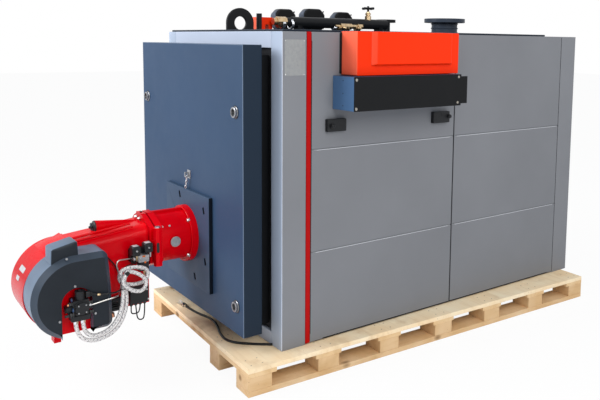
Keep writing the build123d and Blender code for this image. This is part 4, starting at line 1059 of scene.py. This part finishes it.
braided = material("braided_hose", braid, "UV")
supply_route = [
    (278, -831, 225), (278, -831, 160), (278, -762, 108), (266, -650, 128), (250, -594, 215),
    (238, -590, 315), *loops(236, -18, 1.4, (146, 90), 0.12, (-551, 359), -0.12),
]
return_route = [
    (278, -800, 225), (278, -800, 171), (277, -754, 130), (266, -664, 150), (256, -615, 232),
    (250, -609, 322), *loops(254, 18, 1.12, (122, 78), 0.02, (-560, 344), -0.6),
]
supply_hose, supply_path = hose("supply_hose", supply_route, 18, braided)
return_hose, return_path = hose("return_hose", return_route, 18, braided)
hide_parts("oil_hose_supply", "hose_coil")
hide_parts("oil_hose_return")

for name, braid_hose, path in (("supply", supply_hose, supply_path), ("return", return_hose, return_path)):
    away = path[-1] - path[-4]
    end = (path[-1] - datum) * 1000 - 4 * away / np.linalg.norm(away)
    tail = (ring(9.5, 24), [(0, 1), (12, 1), (13, 0.8), (18, 0.7)], [end], away)
    tip = skin(name + "_end", [tail], black_plastic)

# Leads and ties of the burner: black rubber leads with moulded ends, clipped into their sockets and
# glands, and nylon ties that hold the two hoses together.
rubber = moulded("rubber", (0.008, 0.009, 0.011), 0.3)
pump_lead = (
    (286, -762, 337), (288, -735, 327), (288, -700, 323), (286, -662, 319), (266, -637, 314),
    (240, -626, 308), (214, -608, 301), (196, -584, 290), (176, -564, 268), (146, -546, 252),
)
lead("pump_lead", pump_lead, 8, rubber)
sleeve = [(0, 0.9), (2, 1), (12, 1), (14, 0.9)]
skin("lead_sleeve", [(ring(6, 18), sleeve, (288, -738, 327.5), (0, 1, -0.12))], brass)
small_leads = (
    ("first_valve_lead", 6, (
        (122, -690, 486), (122, -664, 466), (122, -640, 440), (124, -616, 412), (128, -600, 385),
        (134, -586, 340), (136, -570, 300), (138, -556, 276),
    )),
    ("second_valve_lead", 5, (
        (150, -502, 392), (140, -530, 390), (128, -572, 372), (126, -592, 320), (130, -560, 270),
    )),
    ("short_loop", 6, (
        (137, -534, 184), (136, -535, 160), (134, -532, 142), (134, -512, 138), (135, -492, 144),
        (137, -490, 184),
    )),
    ("long_loop", 6, (
        (137, -512, 184), (145, -512, 150), (147, -508, 116), (147, -490, 106), (146, -472, 116),
        (137, -468, 184),
    )),
)
for name, diameter, route in small_leads:
    lead(name, route, diameter, rubber)
for name, place, apart, over in (
    ("lower_tie", (245, -600, 316), (0.6, -0.8, 0), (0.8, 0.6, 0.1)),
    ("upper_tie", (248, -612, 352), (0.9, -0.4, 0.1), (0.3, 0.6, 0.7)),
):
    turn = np.linspace(0, 2 * np.pi, 17)
    oval = 22 * np.cos(turn)[:, None] * np.array(apart) + 12.5 * np.sin(turn)[:, None] * np.array(over)
    lead(name, [tuple(point) for point in np.array(place) + oval], 3.4, black_plastic)

# Cable on the deck: glossy black, from under the casing to a loose plated connector by the door,
# with a bent metal flag and two brass parts.
cable_route = (
    (558, 0, 6), (497, -84, 6), (405, -162, 6), (300, -150, 6),
    (195, -112, 6), (90, -100, 6), (-20, -132, 6), (-130, -137, 6),
)
cable = lead("deck_cable", cable_route, 12, rubber, "boiler")
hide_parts("pallet_cable")
dress("pallet_cable_plug", zinc, 0.001)
flag = np.array(((-226, 1), (-176, 33), (-150, 30), (-140, 12), (-150, 1)))
flag_middle = flag.mean(axis=0)
flag_rows = [(0, 0.97), (0.6, 1), (1.8, 1), (2.4, 0.97)]
flag_place = (flag_middle[0], -150, flag_middle[1])
skin("plug_flag", [(flag - flag_middle, flag_rows, flag_place, to_front)], zinc, "boiler")
plug_parts = [
    (ring(8, 6), sleeve, (-148, -137, 8), to_right),
    (ring(5, 6), small, (-160, -152.4, 12), to_front),
]
skin("plug_brass", plug_parts, brass, "boiler")
